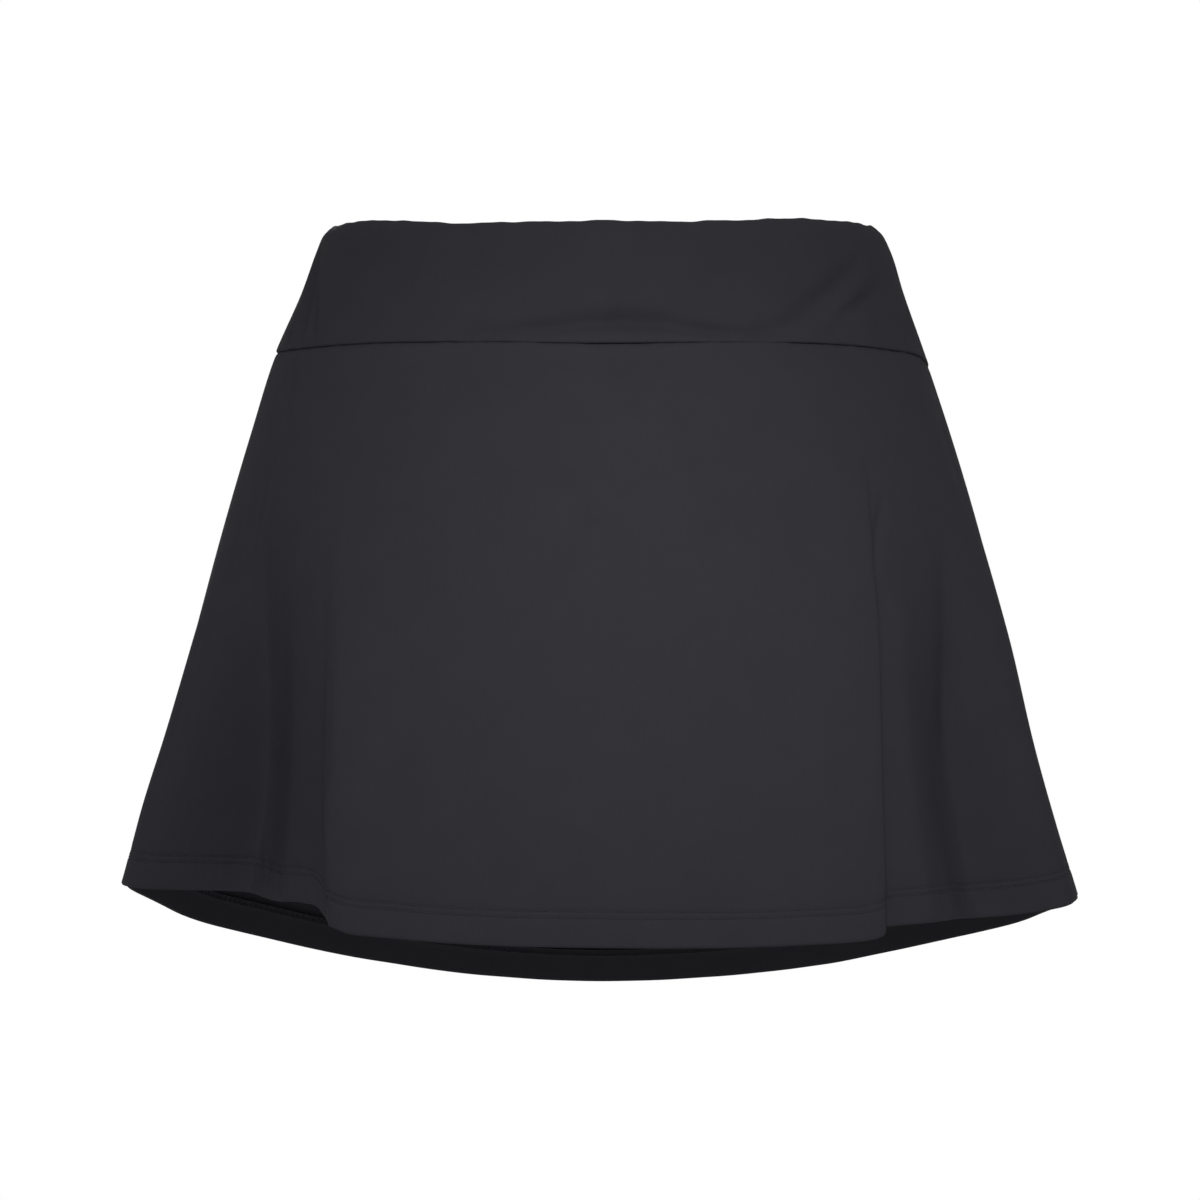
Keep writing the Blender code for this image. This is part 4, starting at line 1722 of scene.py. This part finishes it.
@dataclass
class InnerShorts:
    """The plain inner shorts, in two pieces that each go round one leg.

    Above the crotch the pieces meet along the rise, which joined_reach lets go of just below it.
    """

    form: GarmentForm
    fabric: Fabric
    shorts_form: GarmentForm = GarmentForm(sections=SHORTS_SECTIONS)
    hem: Hem = Hem(
        cloth=0.0010,
        doubled=0.0018,
        depth=0.0150,
        needle_rows=(0.0118, 0.0146),
        needle_depth=0.00035,
        needle_width=0.00080,
        pitch=0.0028,
        thread=0.00016,
    )
    inset: float = 0.0018
    top_drop: float = 0.0016
    crotch_height: float = -0.2150
    crotch_curve: float = 0.0900
    leg_height: float = -0.3020
    leg_parting: float = 0.0080
    seam_gap: float = 0.000004
    seam_depth: float = 0.0008
    seam_width: float = 0.0013
    joined_reach: float = 0.010
    columns: int = 176
    rise_rows: int = 60
    curve_rows: int = 60
    leg_rows: int = 60
    rows: int = 74
    puckers: tuple[Pucker, ...] = (
        Pucker(PanelEdge.FOOT, 0.013, 0.006, 2, 0.00022, (0.007, 0.011, 0.018), 21),
    )
    flat: tuple[float, float] = (0.500, 0.290)
    area: float = 0.1440
    rise_seam: EndSeam = EndSeam(width=0.0060, start=0.0120, rows=90, layers=0.0010, measured=3)

    def face(self, hand: Hand) -> Face:
        """The outer face of one piece, creased and sewn.

        Args:
            hand: Which piece.

        Returns:
            Its face.
        """
        scale = self.shorts_form.degree("band_seam", "half_width")
        across = beside_ends(np.linspace(0, HALF_TURN, self.columns), scale)[None, :]
        share = across / HALF_TURN
        angle = across - HALF_TURN / 2
        top = self.form.edge("band_seam", angle) - self.top_drop
        curve_top = self.crotch_height + self.crotch_curve
        rise = np.linspace(0, 1, self.rise_rows, endpoint=False)[:, None]
        curve = np.linspace(0, math.pi / 2, self.curve_rows)[:, None]
        leg = np.linspace(0, 1, self.leg_rows)[1:, None]
        level = 0 * share
        heights = [
            top + (curve_top - top) * rise,
            curve_top - self.crotch_curve * np.sin(curve) + level,
            self.crotch_height + (self.leg_height - self.crotch_height) * leg + level,
        ]
        height = np.concatenate(heights)
        gathered = np.concatenate([0 * rise, 1 - np.cos(curve), 1 + 0 * leg])
        points = self.round_leg(share, height, gathered)
        points[..., 0] = hand.value * (points[..., 0] + self.seam_gap / 2)
        angle = np.broadcast_to(angle, height.shape)
        if hand is Hand.LEFT:
            points, angle = points[:, ::-1], angle[:, ::-1]
        face = Face(points, angle, points.shape[1] // 2)
        face.press(SHORTS_CREASES)
        face.pucker(self.puckers)
        face.draw_in(self.seam_depth, self.seam_width)
        face.move(-self.hem.sunk(face))
        joined = 1 - smooth_step((self.crotch_height - face.points[..., 2]) / self.joined_reach)
        joined = joined * np.exp(-((face.from_ends / (2 * self.seam_width)) ** 2))
        face.points[..., 0] += (points[..., 0] - face.points[..., 0]) * joined
        return face

    def round_leg(self, share: np.ndarray, height: np.ndarray, gathered: np.ndarray) -> np.ndarray:
        """Points of the right piece, from the centre front round the side to the centre back.

        Args:
            share: 0 at the centre front and 1 at the centre back.
            height: The points' heights.
            gathered: 0 where a row is open from front to back, and 1 where it closes into a leg.

        Returns:
            The points.
        """
        opened = self.shorts_form.ring((share - 0.5) * HALF_TURN, height, -self.inset)
        outer = self.shorts_form.size("half_width", height) - self.inset
        below = np.clip((self.crotch_height - height) / (self.crotch_height - self.leg_height), 0, 1)
        inner = self.leg_parting * below
        turn = (share - 0.5) * 2 * math.pi
        front, back = (self.shorts_form.size(reach, height) for reach in ("front", "back"))
        deep = np.where(turn < 0, front, back)
        x = (outer + inner) / 2 + (outer - inner) / 2 * np.cos(turn)
        y = (deep - self.inset) * np.sin(turn)
        closed = np.stack([x, y, height], axis=-1)
        return opened + (closed - opened) * gathered[..., None]

    def build(self) -> list[bpy.types.Object]:
        """Builds both pieces and their sewing.

        Returns:
            The pieces.
        """
        pieces = []
        lines = self.hem.lines(self.rows)
        for hand in Hand:
            face = self.face(hand)
            piece = ClothWall(f"inner_shorts_{hand.word}", face, lines, self.fabric).build()
            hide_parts(f"shorts_{hand.word}")
            sewing = self.hem.sew(f"leg_stitches_{hand.word}", face, self.fabric)
            allowances = self.allowances(hand, face)
            pieces.append(piece)
        return pieces

    def allowances(self, hand: Hand, face: Face) -> list[bpy.types.Object]:
        """The overlocked allowances of the rise and the inseam, inside one piece.

        Args:
            hand: Which piece.
            face: Its face.

        Returns:
            The strips and their thread: in front on both pieces, and behind on the right one alone.
        """
        ends = (("front", True), ("back", False)) if hand is Hand.RIGHT else (("front", False),)
        pieces = []
        for word, at_start in ends:
            name = f"rise_allowance_{word}_{hand.word}"
            pieces += self.rise_seam.allow(name, face, at_start, self.hem, self.fabric)
        return pieces


@dataclass(frozen=True)
class Softbox:
    """A square soft light that faces the garment, with a grid that narrows its beam."""

    name: str
    place: tuple[float, float, float]
    aim: tuple[float, float, float]
    size: float
    power: float
    spread: float = 180.0

    def build(self) -> None:
        """Adds the light."""
        data = bpy.data.lights.new(self.name, "AREA")
        data.shape = "SQUARE"
        data.size = self.size
        data.energy = self.power
        data.spread = math.radians(self.spread)
        lamp = bpy.data.objects.new(self.name, data)
        lamp.location = self.place
        across, deep, up = (to - at for to, at in zip(self.aim, self.place))
        lamp.rotation_euler = (math.atan2(math.hypot(across, deep), -up), 0, math.atan2(-across, deep))
        lamp.visible_camera = False
        bpy.context.scene.collection.objects.link(lamp)


@dataclass
class Studio:
    """A pale floor, a surround of soft light, a gridded softbox before and behind, and the camera.

    The surround is white up to eye level and overhead, and grey between them.
    """

    floor_height: float = -1.02
    floor_size: float = 10.2
    camera_place: tuple[float, float, float] = (0.0, -2.8, -0.1537)
    lens: float = 168.0
    sensor: float = 36.0
    grey: float = 0.13
    eye_level: tuple[float, float] = (0.118, 0.19)
    overhead: tuple[float, float] = (0.58, 0.74)
    softboxes: tuple[Softbox, ...] = (
        Softbox("front_softbox", (0.00, -1.93, 0.90), (0.035, -0.14, -0.138), 0.36, 0.39, 16.0),
        Softbox("back_softbox", (-0.20, 2.20, 0.50), (-0.02, 0.15, -0.170), 0.50, 0.45, 20.0),
    )

    def build(self) -> None:
        """Builds the studio and sets the scene's camera."""
        bpy.ops.object.select_all(action="DESELECT")
        bpy.ops.mesh.primitive_plane_add(size=self.floor_size, location=(0, 0, self.floor_height))
        floor = bpy.context.object
        floor.name = "floor"
        bpy.ops.object.transform_apply(location=True, rotation=True, scale=True)
        floor.data.materials.append(FloorFinish().material())
        self.surround()
        for softbox in self.softboxes:
            softbox.build()
        self.place_camera()
        bpy.context.scene.view_settings.view_transform = "Standard"

    def surround(self) -> None:
        """Sets the world, whose light depends on the height that it comes from."""
        desk = Desk(bpy.data.worlds.new("soft_surround"))
        direction = desk.node("ShaderNodeTexCoord", {}, {}).outputs["Generated"]
        _, _, rise = desk.parts(direction)
        white = 1 - rise.step(*self.eye_level) + rise.step(*self.overhead)
        background = desk.tree.nodes["Background"]
        background.inputs["Color"].default_value = (1.0, 1.0, 1.0, 1.0)
        desk.wire(self.grey + white * (1 - self.grey), background.inputs["Strength"])
        bpy.context.scene.world = desk.owner

    def place_camera(self) -> None:
        """Puts the camera level in front of the garment."""
        data = bpy.data.cameras.new("camera")
        data.lens = self.lens
        data.sensor_width = self.sensor
        camera = bpy.data.objects.new("camera", data)
        camera.location = self.camera_place
        camera.rotation_euler = (math.pi / 2, 0, 0)
        bpy.context.scene.collection.objects.link(camera)
        bpy.context.scene.camera = camera


def main() -> None:
    """Builds the garment and its studio."""
    logging.basicConfig(level=logging.INFO, format="%(name)s: %(message)s")
    Studio().build()
    fabrics = Fabrics.made()
    form = GarmentForm()
    parts = (Waistband(form, fabrics.band), Skirt(form, fabrics.skirt), InnerShorts(form, fabrics.shorts))
    for part in parts:
        for piece in part.build():
            LOG.info("%s: %d faces", piece.name, len(piece.data.polygons))


if __name__ == "__main__":
    main()
